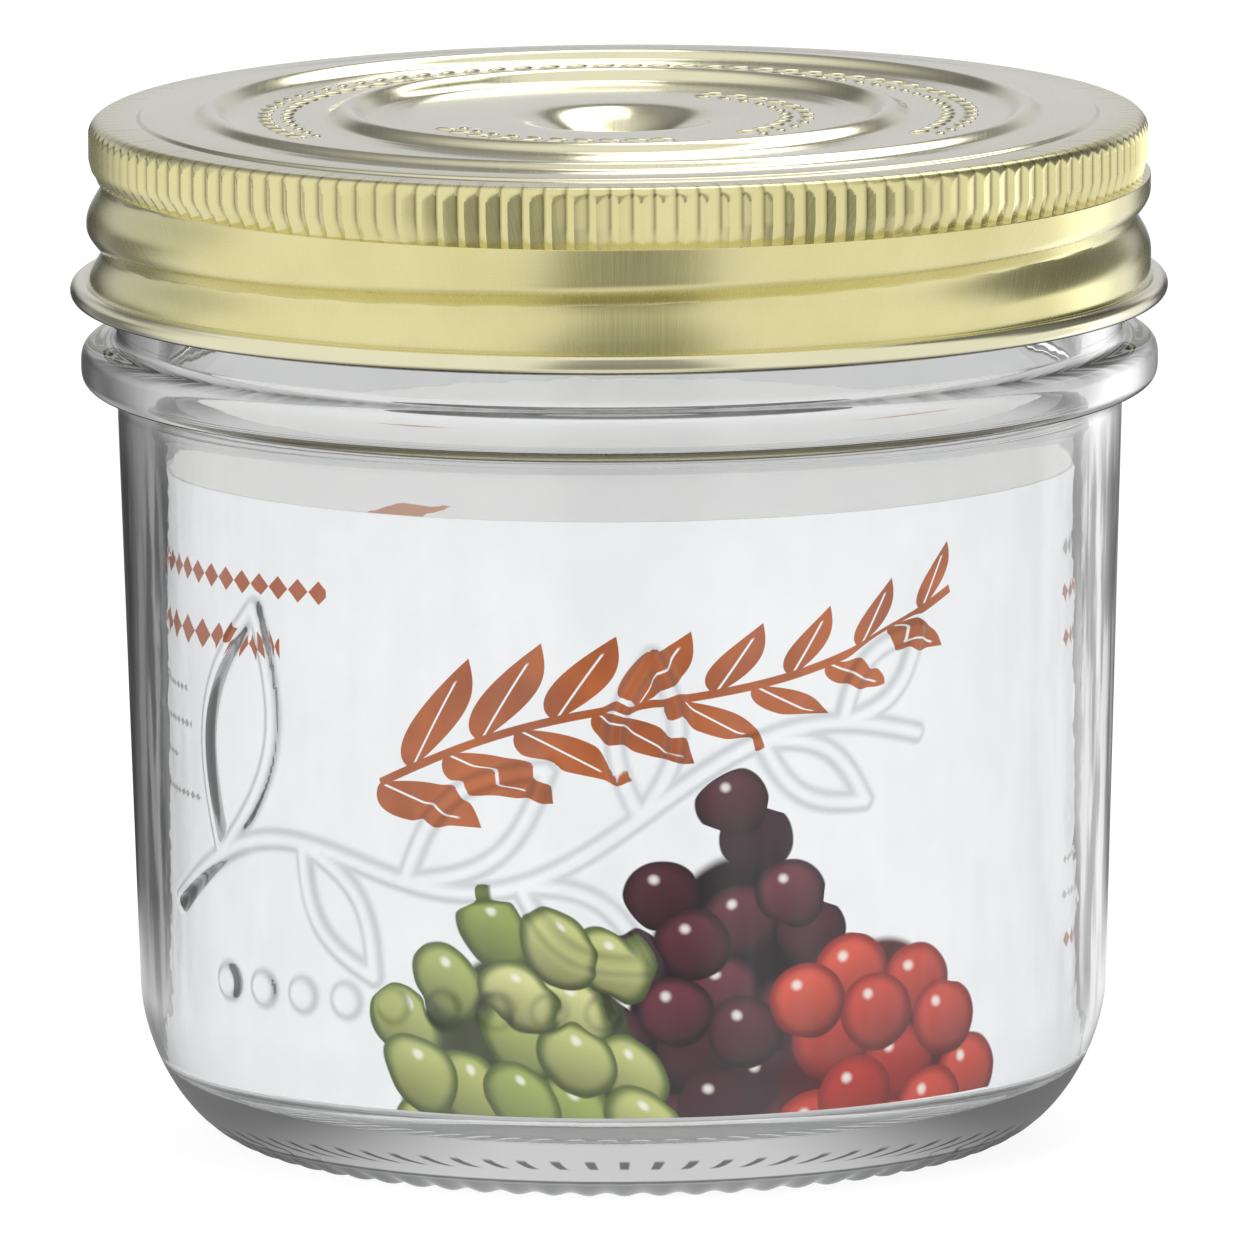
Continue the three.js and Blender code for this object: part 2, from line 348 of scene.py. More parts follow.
# %% The rule of the thread
LEAD = 6.5 * MM
THREAD_HEIGHT = 2 * MM
ROLL_DEPTH = 1.5 * MM
ROLL_LEVEL = rim_height - 10.1 * MM
ROLL_SHIFT = 0.25 * MM
TURNS_TRIED = range(-2, 2)

thread_parts = ("Level", "Lead", "Upper Width", "Lower Width", "Sharpness", "Start", "End", "Fade")
wire, source, sink = node_group(
    "GeometryNodeTree",
    "screw_thread",
    sockets("Float", "Angle", "Height", *thread_parts),
    sockets("Float", "Share"),
)
share = 0.0
for turn in TURNS_TRIED:
    along = source["Angle"] + turn * TURN
    offset = source["Height"] - source["Level"] - along * source["Lead"] * (1 / TURN)
    above, below = offset / source["Upper Width"], offset * -1.0 / source["Lower Width"]
    offset = wire.math("MINIMUM", wire.math("MAXIMUM", above, below), 1.0)
    aside = wire.math("SINE", offset * (TURN / 4))
    begins = wire.ramp(along, source["Start"], source["Start"] + source["Fade"])
    ends = wire.ramp(along, source["End"], source["End"] - source["Fade"])
    crest = (1.0 - wire.math("POWER", aside, source["Sharpness"])) * begins * ends
    share = wire.math("MAXIMUM", share, crest)
wire.feed(sink["Share"], share)
screw_thread = wire.tree


def thread(depth, level, upper, lower, sharpness, start, end, fade):
    """The values of one thread, by the names of a tree's inputs; its angles are in degrees."""
    angles = [math.radians(angle) for angle in (start, end, fade)]
    values = zip(thread_parts, (level, LEAD, upper, lower, sharpness, *angles))
    return {"Thread Depth": depth, **{"Thread " + part: value for part, value in values}}


rolled_groove = thread(
    depth=ROLL_DEPTH,
    level=ROLL_LEVEL + ROLL_SHIFT,
    upper=2.6 * MM,
    lower=3.6 * MM,
    sharpness=1.25,
    start=-270,
    end=275,
    fade=80,
)
glass_ridge = thread(
    depth=THREAD_HEIGHT,
    level=ROLL_LEVEL + LEAD / 2,
    upper=1.6 * MM,
    lower=1.6 * MM,
    sharpness=2.0,
    start=-410,
    end=-30,
    fade=35,
)
print("thread rule:", len(screw_thread.nodes), "nodes")


# %% [markdown]
# A tree that shapes a turned blank always does the same things: it asks where a point is and what marks it
# carries, works out a new radius and height, moves the point there, and gives the result its finish.

# %% Helpers for the trees that shape a blank
def polar_place(wire):
    """Where a point of the blank is: its X, Y and Z, its angle and its radius."""
    x, y, z = wire.split(wire.get("GeometryNodeInputPosition"))
    return x, y, z, wire.math("ARCTAN2", y, x), wire.math("SQRT", x * x + y * y)


def mark_of(wire, name):
    """A number that the blank carries at each point."""
    return wire.get("GeometryNodeInputNamedAttribute", {"Name": name}, "Attribute", data_type="FLOAT")


def keep_mark(wire, geometry, name, value):
    """Stores a number at each point, for the finish to read."""
    kept = {"Geometry": geometry, "Name": name, "Value": value}
    return wire.get("GeometryNodeStoreNamedAttribute", kept)


def thread_at(wire, source, angle, height):
    """How far the thread works on a point."""
    parts = {part: source["Thread " + part] for part in thread_parts}
    parts.update(Angle=angle, Height=height)
    share = wire.get("GeometryNodeGroup", parts, node_tree=screw_thread)
    return source["Thread Depth"] * (share * mark_of(wire, "thread"))


def reshape(wire, source, sink, blank, place, new_radius, new_height):
    """Moves each point to its new radius and height, then paints the result."""
    x, y, _, _, radius = place
    scale = new_radius / wire.math("MAXIMUM", radius, 1e-9)
    moved = {"Geometry": blank, "Position": wire.join(x * scale, y * scale, new_height)}
    paint(wire, source, sink, wire.get("GeometryNodeSetPosition", moved))


def paint(wire, source, sink, shaped):
    """Makes instances real and gives the shape its finish."""
    realized = wire.get("GeometryNodeRealizeInstances", {"Geometry": shaped})
    painted = {"Geometry": realized, "Material": source["Material"]}
    wire.feed(sink["Geometry"], wire.get("GeometryNodeSetMaterial", painted))


# %% [markdown]
# ## Finishes
# Colours are written as they look on a screen, 0 to 255, and turned into the linear values that Blender
# mixes. Two effects serve several finishes, so each is a shader group: the long fine streaks that rolling
# leaves in tinplate and card, and a soft cloudiness that keeps any surface from looking like one flat
# colour.

# %% Colours and shared effects
def screen(red, green, blue):
    """A screen colour, 0 to 255, as linear RGBA."""
    parts = [value / 255 for value in (red, green, blue)]
    return [part / 12.92 if part <= 0.04045 else ((part + 0.055) / 1.055) ** 2.4 for part in parts] + [1.0]


NOISE_RANGE = (0.3, 0.7)

wire, source, sink = node_group(
    "ShaderNodeTree",
    "rolling_streaks",
    {"Vector": "Vector", **sockets("Float", "Streak Width", "Streak Length")},
    sockets("Float", "Value"),
)
spot = source["Vector"] / wire.join(source["Streak Width"], source["Streak Length"], 1.0)
noise = {"Vector": spot, "Scale": 1.0, "Detail": 3.0, "Roughness": 0.6}
wire.feed(sink["Value"], wire.ramp(wire.get("ShaderNodeTexNoise", noise, "Fac"), *NOISE_RANGE))
rolling_streaks = wire.tree

wire, source, sink = node_group(
    "ShaderNodeTree", "cloudiness", {"Vector": "Vector", "Cloud Size": "Float"}, sockets("Float", "Value")
)
spot = wire.scaled(source["Vector"], 1.0 / source["Cloud Size"])
noise = {"Vector": spot, "Scale": 1.0, "Detail": 4.0}
wire.feed(sink["Value"], wire.ramp(wire.get("ShaderNodeTexNoise", noise, "Fac"), *NOISE_RANGE))
cloudiness = wire.tree


def place_group(wire, group, vector, **values):
    """The outputs of a shader group in a finish; values go by socket name, with _ for a space."""
    inputs = {label.replace("_", " "): value for label, value in values.items()}
    node = wire.add("ShaderNodeGroup", {"Vector": vector, **inputs}, node_tree=group)
    return [Term(wire, socket) for socket in node.outputs]


def clouds_at(wire, vector, size):
    return place_group(wire, cloudiness, vector, Cloud_Size=size)[0]


def streaks_at(wire, vector, width, length):
    return place_group(wire, rolling_streaks, vector, Streak_Width=width, Streak_Length=length)[0]


def new_finish(name):
    """A material with an empty node tree, and its output."""
    material = bpy.data.materials.new(name)
    material.use_nodes = True
    material.node_tree.nodes.clear()
    wire = Wiring(material.node_tree)
    return material, wire, wire.add("ShaderNodeOutputMaterial").inputs["Surface"]


def attribute(wire, name):
    """A number that the mesh carries at each point."""
    return wire.get("ShaderNodeAttribute", None, "Fac", attribute_name=name)


def bump(wire, height, strength, distance):
    relief = {"Height": height, "Strength": strength, "Distance": distance}
    return wire.get("ShaderNodeBump", relief)


print("shared effects:", rolling_streaks.name, cloudiness.name)

# %% [markdown]
# Gold tinplate is steel with a tin coat under a clear yellow lacquer. Seen square on, the lacquer tints the
# metal. Seen along the surface, its own gloss shows and the lid looks almost white. So the finish is a
# yellow metal with a clear coat over it, and the streaks follow the flat sheet that the lid was pressed
# from. The lid's top and its curl are smoother, and their colour is mixed toward a near-white tint: a
# painted sheen for that gloss seen along the surface. The creases between the ribs are mixed toward a dark
# olive: painted shade where the flutes shadow and mirror each other. The mesh carries both as numbers.

# %% Tinplate finishes
STREAK_WIDTH, STREAK_LENGTH = 0.16 * MM, 9 * MM
SHEET_CLOUD = 14 * MM
STREAK_TONE, CLOUD_TONE = 0.35, 0.65
# Painted sheen: the top and the curl are mixed toward this near-white tint, for the lacquer's gloss seen
# along the surface.
PAINTED_SHEEN_SHARE, PAINTED_SHEEN_TINT = 0.45, screen(230, 228, 214)
# Painted shade: the creases between the ribs are mixed toward this dark olive.
CREASE_SHADE_SHARE, CREASE_SHADE_TINT = 0.8, screen(120, 110, 48)
PALE_POLISH = -0.1
UNEVEN_GLOSS = 0.03


def tinplate(name, light, deep, roughness):
    """Lacquered tinplate between two tints, streaked along the sheet's Y."""
    material, wire, surface = new_finish(name)
    sheet = wire.get("ShaderNodeUVMap", uv_map="sheet")
    streaks = streaks_at(wire, sheet, STREAK_WIDTH, STREAK_LENGTH)
    tone = streaks * STREAK_TONE + clouds_at(wire, sheet, SHEET_CLOUD) * CLOUD_TONE
    pale = attribute(wire, "pale")
    rough = wire.ramp(streaks, 0.0, 1.0, roughness - UNEVEN_GLOSS, roughness + UNEVEN_GLOSS)
    # Painted sheen on the top and the curl, over the streaked gold.
    tint = wire.mix(pale * PAINTED_SHEEN_SHARE, wire.mix(tone, deep, light), PAINTED_SHEEN_TINT)
    metal = {
        # Painted shade in the creases between the ribs.
        "Base Color": wire.mix(attribute(wire, "crease") * CREASE_SHADE_SHARE, tint, CREASE_SHADE_TINT),
        "Metallic": 1.0,
        "Roughness": pale * PALE_POLISH + rough,
        "Coat Weight": 1.0,
        "Coat Roughness": 0.08,
        "Coat IOR": 1.65,
        "Normal": bump(wire, streaks, 0.12, 0.003 * MM),
    }
    wire.feed(surface, wire.get("ShaderNodeBsdfPrincipled", metal))
    return material


gold_lacquer = tinplate("gold_lacquer", screen(227, 219, 160), screen(216, 207, 140), 0.27)
pale_lacquer = tinplate("pale_lacquer", screen(222, 214, 170), screen(205, 196, 146), 0.3)
print("tinplate finishes:", gold_lacquer.name, pale_lacquer.name)


# %% [markdown]
# ## The screw lid
# The lid is one sheet of tinplate: a pressed top with two beads and a dimple, a knurled band for the
# fingers that tapers in below its ribs, a skirt with the rolled groove, and a curl that hides the raw edge.
# The blank is the plain sheet, inside and outside. The tree then rolls the groove and presses the knurls,
# because both follow a rule.

# %% Sizes of the lid
@dataclass
class Bead:
    """A raised ring on the lid's top."""

    inner: float
    outer: float
    height: float


THREAD_CLEARANCE = 0.45 * MM
LID_DEPTH = 17.9 * MM
CORNER_RADIUS = 1.5 * MM
KNURL_COUNT = 152
KNURL_HEIGHT = 4.2 * MM
KNURL_DEPTH = 0.38 * MM
KNURL_STEP = 0.25 * MM
UNDERCUT_HEIGHT = 1.9 * MM
CURL_RADIUS = 1.03 * MM
RIM_WIDTH = 3.1 * MM
SHELF_RISE = 0.3 * MM
SHELF_SLOPE = 0.7 * MM
STACK_LEVEL = 0.05 * MM
CENTRE_LEVEL = -0.25 * MM
DIMPLE_RADIUS = 10.6 * MM
DIMPLE_DEPTH = 3.4 * MM
OUTER_BEAD = Bead(38 * MM, 42.2 * MM, 0.83 * MM)
INNER_BEAD = Bead(24.2 * MM, 29.2 * MM, 1.1 * MM)
BEAD_MARGIN = 2 * MM

skirt_radius = neck_radius + THREAD_HEIGHT + THREAD_CLEARANCE + SHEET
knurl_radius = skirt_radius - KNURL_STEP
rim_radius = knurl_radius - CORNER_RADIUS
shelf_radius = rim_radius - RIM_WIDTH
knurl_top = rim_height - CORNER_RADIUS
knurl_bottom = knurl_top - KNURL_HEIGHT
print(f"lid: skirt {skirt_radius / MM:.1f} mm, knurled band {knurl_radius / MM:.1f} mm in radius")


# %% The pressed top of the lid
def bead_level(bead, radius, inner_level, outer_level):
    share = (radius - bead.inner) / (bead.outer - bead.inner)
    return inner_level + (outer_level - inner_level) * share + bead.height * math.sin(math.pi * share) ** 2


def top_level(radius):
    """Height of the lid's pressed top over its flat rim."""
    if radius < DIMPLE_RADIUS:
        return CENTRE_LEVEL - DIMPLE_DEPTH * math.cos(math.pi * radius / DIMPLE_RADIUS / 2) ** 2
    if radius < INNER_BEAD.inner:
        return CENTRE_LEVEL
    if radius < INNER_BEAD.outer:
        return bead_level(INNER_BEAD, radius, CENTRE_LEVEL, STACK_LEVEL)
    if radius < OUTER_BEAD.inner:
        return STACK_LEVEL
    if radius < OUTER_BEAD.outer:
        return bead_level(OUTER_BEAD, radius, STACK_LEVEL, SHELF_RISE)
    return SHELF_RISE * (1 - smooth(radius, shelf_radius - SHELF_SLOPE, shelf_radius))


def top_rings(steps, count, below):
    """Rings of the lid's top from its middle to its rim, lowered by the sheet for the underside."""
    radii = spaced(0, DIMPLE_RADIUS, 2 * steps)
    radii += [DIMPLE_RADIUS + BEAD_MARGIN, INNER_BEAD.inner - BEAD_MARGIN]
    radii += spaced(INNER_BEAD.inner, INNER_BEAD.outer, 2 * steps)
    radii += [INNER_BEAD.outer + BEAD_MARGIN, OUTER_BEAD.inner - BEAD_MARGIN]
    radii += spaced(OUTER_BEAD.inner, OUTER_BEAD.outer, 2 * steps)
    radii += [OUTER_BEAD.outer + BEAD_MARGIN / 2]
    radii += spaced(shelf_radius - SHELF_SLOPE, shelf_radius, steps)
    angles = evenly(count)
    # Every ring of the top is marked for the painted sheen and the smoother polish.
    return [Ring(radius, rim_height + top_level(radius) - below, angles, pale=1) for radius in radii]


# %% The blank of the lid
TOP_POINTS = 192
SKIRT_ROWS = 54
BAND_ROWS = 20
LINING_ROWS = 12
CURL_STEPS = 18
CORNER_STEPS = 9

skirt_round = evenly(240)
knurl_round = evenly(8 * KNURL_COUNT)
curl_centre = (skirt_radius - SHEET + CURL_RADIUS, rim_height - LID_DEPTH + CURL_RADIUS)
curl_end = math.degrees(math.acos((SHEET - CURL_RADIUS) / CURL_RADIUS))
skirt_head = knurl_bottom - KNURL_STEP
skirt_heights = spaced(skirt_head, curl_centre[1] + CURL_RADIUS, SKIRT_ROWS)
lining_radius = knurl_radius - KNURL_DEPTH - SHEET


def undercut_share(height):
    """How far the band has tapered in at a height, from 0 on its ribs to 1 at its foot."""
    return min(max(1 - (height - knurl_bottom) / UNDERCUT_HEIGHT, 0.0), 1.0)


underside = top_rings(3, TOP_POINTS // 2, SHEET)
underside += [Ring(rim_radius, rim_height - SHEET, evenly(TOP_POINTS))]
lining = [
    Ring(lining_radius, z, skirt_round, thread=1, undercut=undercut_share(z))
    for z in spaced(knurl_top, knurl_bottom, LINING_ROWS)
]
lining += [Ring(skirt_radius - SHEET, z, skirt_round, thread=1) for z in skirt_heights[1:]]
curl = arc(curl_centre, CURL_RADIUS, CURL_RADIUS, -180, curl_end, CURL_STEPS)
# The curl is marked for the painted sheen and the smoother polish, like the top.
curl = [Ring(r, z, skirt_round, pale=1) for r, z in curl]
skirt = [Ring(skirt_radius, z, skirt_round, thread=1) for z in reversed(skirt_heights)]
ledge = arc((skirt_radius - KNURL_STEP / 2, skirt_head), KNURL_STEP / 2, KNURL_STEP / 2, 30, 90, 2)
ledge = [Ring(r, z, knurl_round, thread=1) for r, z in ledge]
band = [
    Ring(knurl_radius, z, knurl_round, rib=1, thread=1, undercut=undercut_share(z))
    for z in spaced(knurl_bottom, knurl_top, BAND_ROWS)[:-1]
]
corner = arc((rim_radius, knurl_top), CORNER_RADIUS, CORNER_RADIUS, 0, 90, CORNER_STEPS)
corner = [Ring(r, z, knurl_round, rib=1) for r, z in corner]
topside = reversed(top_rings(6, TOP_POINTS, 0))
lid_rings = [*underside, *lining, *curl, *skirt, *ledge, *band, *corner, *topside]
screw_lid = turned_blank("screw_lid_sheet", lid_rings)
print("blank of the lid:", len(screw_lid.data.polygons), "faces")

# %% The tree that rolls the groove and presses the knurls
# How deep in a flute the painted shade begins.
CREASE_SHADE_FROM = 0.7
SHARP_EDGE = math.radians(32)

lid_values = {
    "Knurl Count": float(KNURL_COUNT),
    "Knurl Radius": knurl_radius,
    "Knurl Depth": KNURL_DEPTH,
    "Knurl Valley": 0.625,
    "Knurl Softness": 0.07 * MM,
    "Undercut": 0.45 * MM,
    **rolled_groove,
    "Material": gold_lacquer,
}
wire, source, sink = shaping_tree("rolled_tinplate", lid_values)
x, y, z, angle, radius = place = polar_place(wire)
rib, tapered, valley = mark_of(wire, "rib"), mark_of(wire, "undercut"), source["Knurl Valley"]
phase = wire.math("FRACT", angle * source["Knurl Count"] * (1 / TURN))
depth = wire.math("MINIMUM", phase / valley, (1.0 - phase) / (1.0 - valley))
tooth = source["Knurl Radius"] - depth * source["Knurl Depth"]
pressed = wire.math("SMOOTH_MIN", radius, tooth, source["Knurl Softness"])
rolled = thread_at(wire, source, angle, z)
inward = wire.math("MAXIMUM", rolled, source["Undercut"] * tapered)
new_radius = radius - (radius - pressed) * rib - inward
# Painted shade: the deepest part of each flute is marked for a darker colour, fading out over the taper.
crease = wire.ramp(depth, CREASE_SHADE_FROM, 1.0) * rib * (1.0 - tapered)
marked = keep_mark(wire, source["Geometry"], "crease", crease)
reshape(wire, source, sink, marked, place, new_radius, z)

run_tree(screw_lid, wire.tree, lid_values)
screw_lid.data.set_sharp_from_angle(angle=SHARP_EDGE)
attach(screw_lid, "lid")
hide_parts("screw_lid")

# %% [markdown]
# ## Marks on the lid
# Lids like this carry a ring of raised marks on the flat band between their beads. Here they are a plain
# laurel of little leaves. One leaf is a flattened ball, and a tree sets it round an arc, in two leaning
# rows.

# %% The laurels and their tree
LEAF_SIZE = (1.3 * MM, 0.55 * MM, 0.2 * MM)
LEAF_TILT = math.radians(28)
OUTER_LAUREL, OUTER_GAP = 33.6 * MM, 2.2 * MM
INNER_LAUREL, INNER_GAP = 17.6 * MM, 2.0 * MM


def laurel(radius, gap, level, first, last, count):
    """The values of one arc of leaves, between two angles in degrees."""
    return {
        "Radius": radius,
        "Row Gap": gap,
        "Height": rim_height + level,
        "First Angle": math.radians(first),
        "Last Angle": math.radians(last),
        "Count": count,
        "Leaf Size": LEAF_SIZE,
        "Lean": LEAF_TILT,
        "Material": gold_lacquer,
    }


laurels = [
    laurel(OUTER_LAUREL, OUTER_GAP, STACK_LEVEL, first=-25, last=205, count=52),
    laurel(INNER_LAUREL, INNER_GAP, CENTRE_LEVEL, first=205, last=285, count=10),
    laurel(INNER_LAUREL, INNER_GAP, CENTRE_LEVEL, first=-40, last=60, count=12),
]
wire, source, sink = shaping_tree("laurel_band", laurels[0])
share = wire.get("GeometryNodeInputIndex") / (source["Count"] - 1.0)
angle = (source["Last Angle"] - source["First Angle"]) * share + source["First Angle"]
ball = wire.get("GeometryNodeMeshIcoSphere", {"Radius": 1.0, "Subdivisions": 2})
rows = wire.add("GeometryNodeJoinGeometry")
for side in (-1, 1):
    radius = source["Row Gap"] * (side / 2) + source["Radius"]
    x, y = radius * wire.math("COSINE", angle), radius * wire.math("SINE", angle)
    spots = {"Count": source["Count"], "Position": wire.join(x, y, source["Height"])}
    heading = wire.join(z=source["Lean"] * side + (angle + TURN / 4))
    leaves = {
        "Points": wire.get("GeometryNodePoints", spots),
        "Instance": ball,
        "Rotation": wire.get("FunctionNodeEulerToRotation", {"Euler": heading}),
        "Scale": source["Leaf Size"],
    }
    wire.feed(rows.inputs[0], wire.get("GeometryNodeInstanceOnPoints", leaves))
realized = wire.get("GeometryNodeRealizeInstances", {"Geometry": Term(wire, rows.outputs[0])})
flat = {"Geometry": realized, "Name": "sheet", "Value": wire.get("GeometryNodeInputPosition")}
unwrapped = wire.get("GeometryNodeStoreNamedAttribute", flat, data_type="FLOAT2", domain="CORNER")
# The leaves are marked for the same painted sheen and polish as the lid's top.
pale = keep_mark(wire, unwrapped, "pale", 1.0)
paint(wire, source, sink, wire.get("GeometryNodeSetShadeSmooth", {"Geometry": pale}))

lid_marks = bmesh.new()
for values in laurels:
    leaves = as_object("laurel", bmesh.new())
    run_tree(leaves, wire.tree, values)
    lid_marks.from_mesh(leaves.data)
    bpy.data.objects.remove(leaves)
lid_marks = as_object("lid_marks", lid_marks)
lid_marks.data.materials.append(gold_lacquer)
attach(lid_marks, "lid")
print("lid marks:", len(lid_marks.data.polygons), "faces")

# %% [markdown]
# ## The sealing capsule
# Under the lid lies a loose tinplate capsule with a ring of rubbery compound round its edge. Both are
# hidden until the lid is unscrewed. Their outlines are polygons, and a helper rounds each corner the way a
# press tool would.

# %% Rounded outlines
CORNER_REACH = 0.45
CLOSURE_POINTS = 128


def rounded(outline, radius, steps=3):
    """An outline of (radius, height) points with its corners cut round; its two ends stay."""
    result = [outline[0]]
    for before, corner, after in zip(outline, outline[1:], outline[2:]):
        corner = Vector(corner)
        back = Vector(before) - corner
        on = Vector(after) - corner
        reach = min(radius, CORNER_REACH * back.length, CORNER_REACH * on.length)
        start, end = corner + back.normalized() * reach, corner + on.normalized() * reach
        for share in spaced(0, 1, steps):
            result.append(tuple(start.lerp(corner, share).lerp(corner.lerp(end, share), share)))
    return [*result, outline[-1]]


def turned_outline(name, outline, corner_radius):
    """A blank turned from an outline, with its corners rounded."""
    angles = evenly(CLOSURE_POINTS)
    return turned_blank(name, [Ring(r, z, angles) for r, z in rounded(outline, corner_radius)])


# %% The capsule
CAPSULE_ROUND = 0.5 * MM
MOUTH_WALL = 3.5 * MM
WELL_CLEARANCE = 0.6 * MM
WELL_SLOPE = 1.2 * MM
CAPSULE_LIP = 0.8 * MM
PANEL_RADIUS = 33 * MM
PANEL_RISE = 0.6 * MM
DIMPLE_CLEARANCE = 0.4 * MM

mouth_radius = neck_radius - MOUTH_WALL
capsule_top = capsule_high.z
panel_top = rim_height + CENTRE_LEVEL - DIMPLE_DEPTH - SHEET - DIMPLE_CLEARANCE
well_top = panel_top - PANEL_RISE
well_radius = mouth_radius - WELL_CLEARANCE
well_foot = well_radius - WELL_SLOPE
lip_bottom = capsule_top - SHEET - CAPSULE_LIP
capsule_outline = [
    (0, panel_top - SHEET),
    (PANEL_RADIUS, panel_top - SHEET),
    (PANEL_RADIUS + PANEL_RISE, well_top - SHEET),
    (well_foot, well_top - SHEET),
    (well_radius, capsule_top - SHEET),
    (closure_radius - SHEET, capsule_top - SHEET),
    (closure_radius - SHEET, lip_bottom),
    (closure_radius, lip_bottom),
    (closure_radius, capsule_top),
    (well_radius - SHEET, capsule_top),
    (well_foot - SHEET, well_top),
    (PANEL_RADIUS + PANEL_RISE + SHEET, well_top),
    (PANEL_RADIUS + SHEET, panel_top),
    (0, panel_top),
]
capsule_disc = turned_outline("capsule_disc_sheet", capsule_outline, CAPSULE_ROUND)
capsule_disc.data.materials.append(pale_lacquer)
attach(capsule_disc, "capsule")
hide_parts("capsule_disc")
print("capsule:", len(capsule_disc.data.polygons), "faces")

# %% [markdown]
# The compound is poured as a liquid and sets in the capsule's channel, so it is a matt, slightly uneven
# ring with soft edges, the colour of cream. Its outline ends where it began, so the two ends are merged.

# %% The seal ring
SEAL_MARGIN = 0.3 * MM
SEAL_ROUND = 0.4 * MM
SEAL_CLOUD, SEAL_PORE = 3 * MM, 0.4 * MM
CREAM_DEEP, CREAM_LIGHT = screen(222, 212, 186), screen(233, 226, 205)

seal_compound, wire, surface = new_finish("seal_compound")
here = wire.get("ShaderNodeTexCoord", None, "Object")
clouds = clouds_at(wire, here, SEAL_CLOUD)
pores = clouds_at(wire, here, SEAL_PORE)
compound = {
    "Base Color": wire.mix(clouds, CREAM_DEEP, CREAM_LIGHT),
    "Roughness": wire.ramp(pores, 0.0, 1.0, 0.55, 0.75),
    "Normal": bump(wire, pores, 0.3, 0.05 * MM),
}
wire.feed(surface, wire.get("ShaderNodeBsdfPrincipled", compound))

seal_inner = mouth_radius + SEAL_MARGIN
seal_outer = closure_radius - SHEET - SEAL_MARGIN
seal_middle = (seal_inner + seal_outer) / 2
seal_outline = [
    (seal_middle, seal_low.z),
    (seal_outer, seal_low.z),
    (seal_outer, seal_high.z),
    (seal_inner, seal_high.z),
    (seal_inner, seal_low.z),
    (seal_middle, seal_low.z),
]
sealing_ring = turned_outline("sealing_ring_compound", seal_outline, SEAL_ROUND)
merged = bmesh.new()
merged.from_mesh(sealing_ring.data)
bmesh.ops.remove_doubles(merged, verts=merged.verts, dist=1e-6)
bmesh.ops.recalc_face_normals(merged, faces=merged.faces)
merged.to_mesh(sealing_ring.data)
merged.free()
sealing_ring.data.materials.append(seal_compound)
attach(sealing_ring, "capsule")
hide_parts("sealing_ring")
print("seal:", len(sealing_ring.data.polygons), "faces")

# %% [markdown]
# ## The glass
# The jar is pressed glass. Its heel is a full curve down to a ring of short ridges that it stands on, a
# bead runs round under the neck, and the neck carries the ridge that the lid screws onto. Clear glass shows
# what is bent through it, so every one of these is real shape, inside and out.

# %% Sizes of the glass
LIP_ROUND = 0.9 * MM
BEAD_HEIGHT = 4.9 * MM
BEAD_POWER = 3.2
BODY_HEIGHT = 74.5 * MM
BODY_TAPER = 1.8 * MM
BODY_WALL = 2.8 * MM
HEEL_HEIGHT = 15.2 * MM
HEEL_POWER = 1.73
BASE_RADIUS = 37.2 * MM
BASE_RING = 3.2 * MM
PUSH_UP = 2.4 * MM
PUSH_UP_FLAT = 0.35
FLOOR_THICKNESS = 4.4 * MM
FLOOR_CURVE = 5 * MM
BEARING_COUNT = 68
BEARING_DEPTH = 0.35 * MM
FILLET = 0.35 * MM

bead_out = jar_high.x - neck_radius
bead_top = BODY_HEIGHT + BEAD_HEIGHT
heel_radius = neck_radius - BODY_TAPER
floor_radius = heel_radius - BODY_WALL
base_hollow = BASE_RADIUS - BASE_RING
print(f"glass: bead stands out {bead_out / MM:.1f} mm, wall {BODY_WALL / MM:.1f} mm at the heel")


def wall_radius(height):
    """Outside of the tapering wall at a height above the heel."""
    return heel_radius + BODY_TAPER * (height - HEEL_HEIGHT) / (BODY_HEIGHT - HEEL_HEIGHT)


def heel_point(share):
    """Outside of the heel, from the base ring at 0 to the wall at 1."""
    power = 2 / HEEL_POWER
    bend = share * TURN / 4
    radius = BASE_RADIUS + (heel_radius - BASE_RADIUS) * math.sin(bend) ** power
    return radius, HEEL_HEIGHT * (1 - max(math.cos(bend), 0.0) ** power)


def hollow_level(radius):
    """Height of the hollow under the base, over its ring."""
    return PUSH_UP * (1 - smooth(radius, PUSH_UP_FLAT * base_hollow, base_hollow))


# %% [markdown]
# The finish is the Principled shader with full transmission and the faint ripple that pressing leaves. Its
# colour is darkened at the foot and along the edges of the raised ornament: painted shade for the dark that
# the thick glass bends and mirrors there.

# %% The colour of the glass
RIPPLE_SIZE, SMEAR_SIZE = 16 * MM, 5 * MM
CLEAN_DEEP, CLEAN_LIGHT = screen(249, 250, 250), screen(252, 252, 252)
# Painted shade: the glass is mixed toward these greys along the ornament's edges and at its foot.
RELIEF_EDGE_SHADE, FOOT_SHADE = screen(190, 193, 197), screen(52, 55, 59)
RIDGE_EDGES = (0.4, 0.8)
SCALLOP_TOP = (1.5 * MM, 0.6 * MM)
FOOT_BAND, FOOT_BAND_TONE = (2.3 * MM, 1.7 * MM), 0.9
FOOT_LINE, LINE_EDGES = 2.1 * MM, (0.3 * MM, 0.1 * MM)

clear_glass, wire, surface = new_finish("clear_glass")
here = wire.get("ShaderNodeTexCoord", None, "Object")
x, y, z = wire.split(here)
ripple = clouds_at(wire, here, RIPPLE_SIZE)
smears = clouds_at(wire, here, SMEAR_SIZE)


def edge_of(mask):
    """1 where a soft mask is half way, and 0 where it is full or empty."""
    return mask * (1.0 - mask) * 4.0


ridge = wire.math("COSINE", wire.math("ARCTAN2", y, x) * float(BEARING_COUNT))
ridge = wire.ramp(ridge, *RIDGE_EDGES)
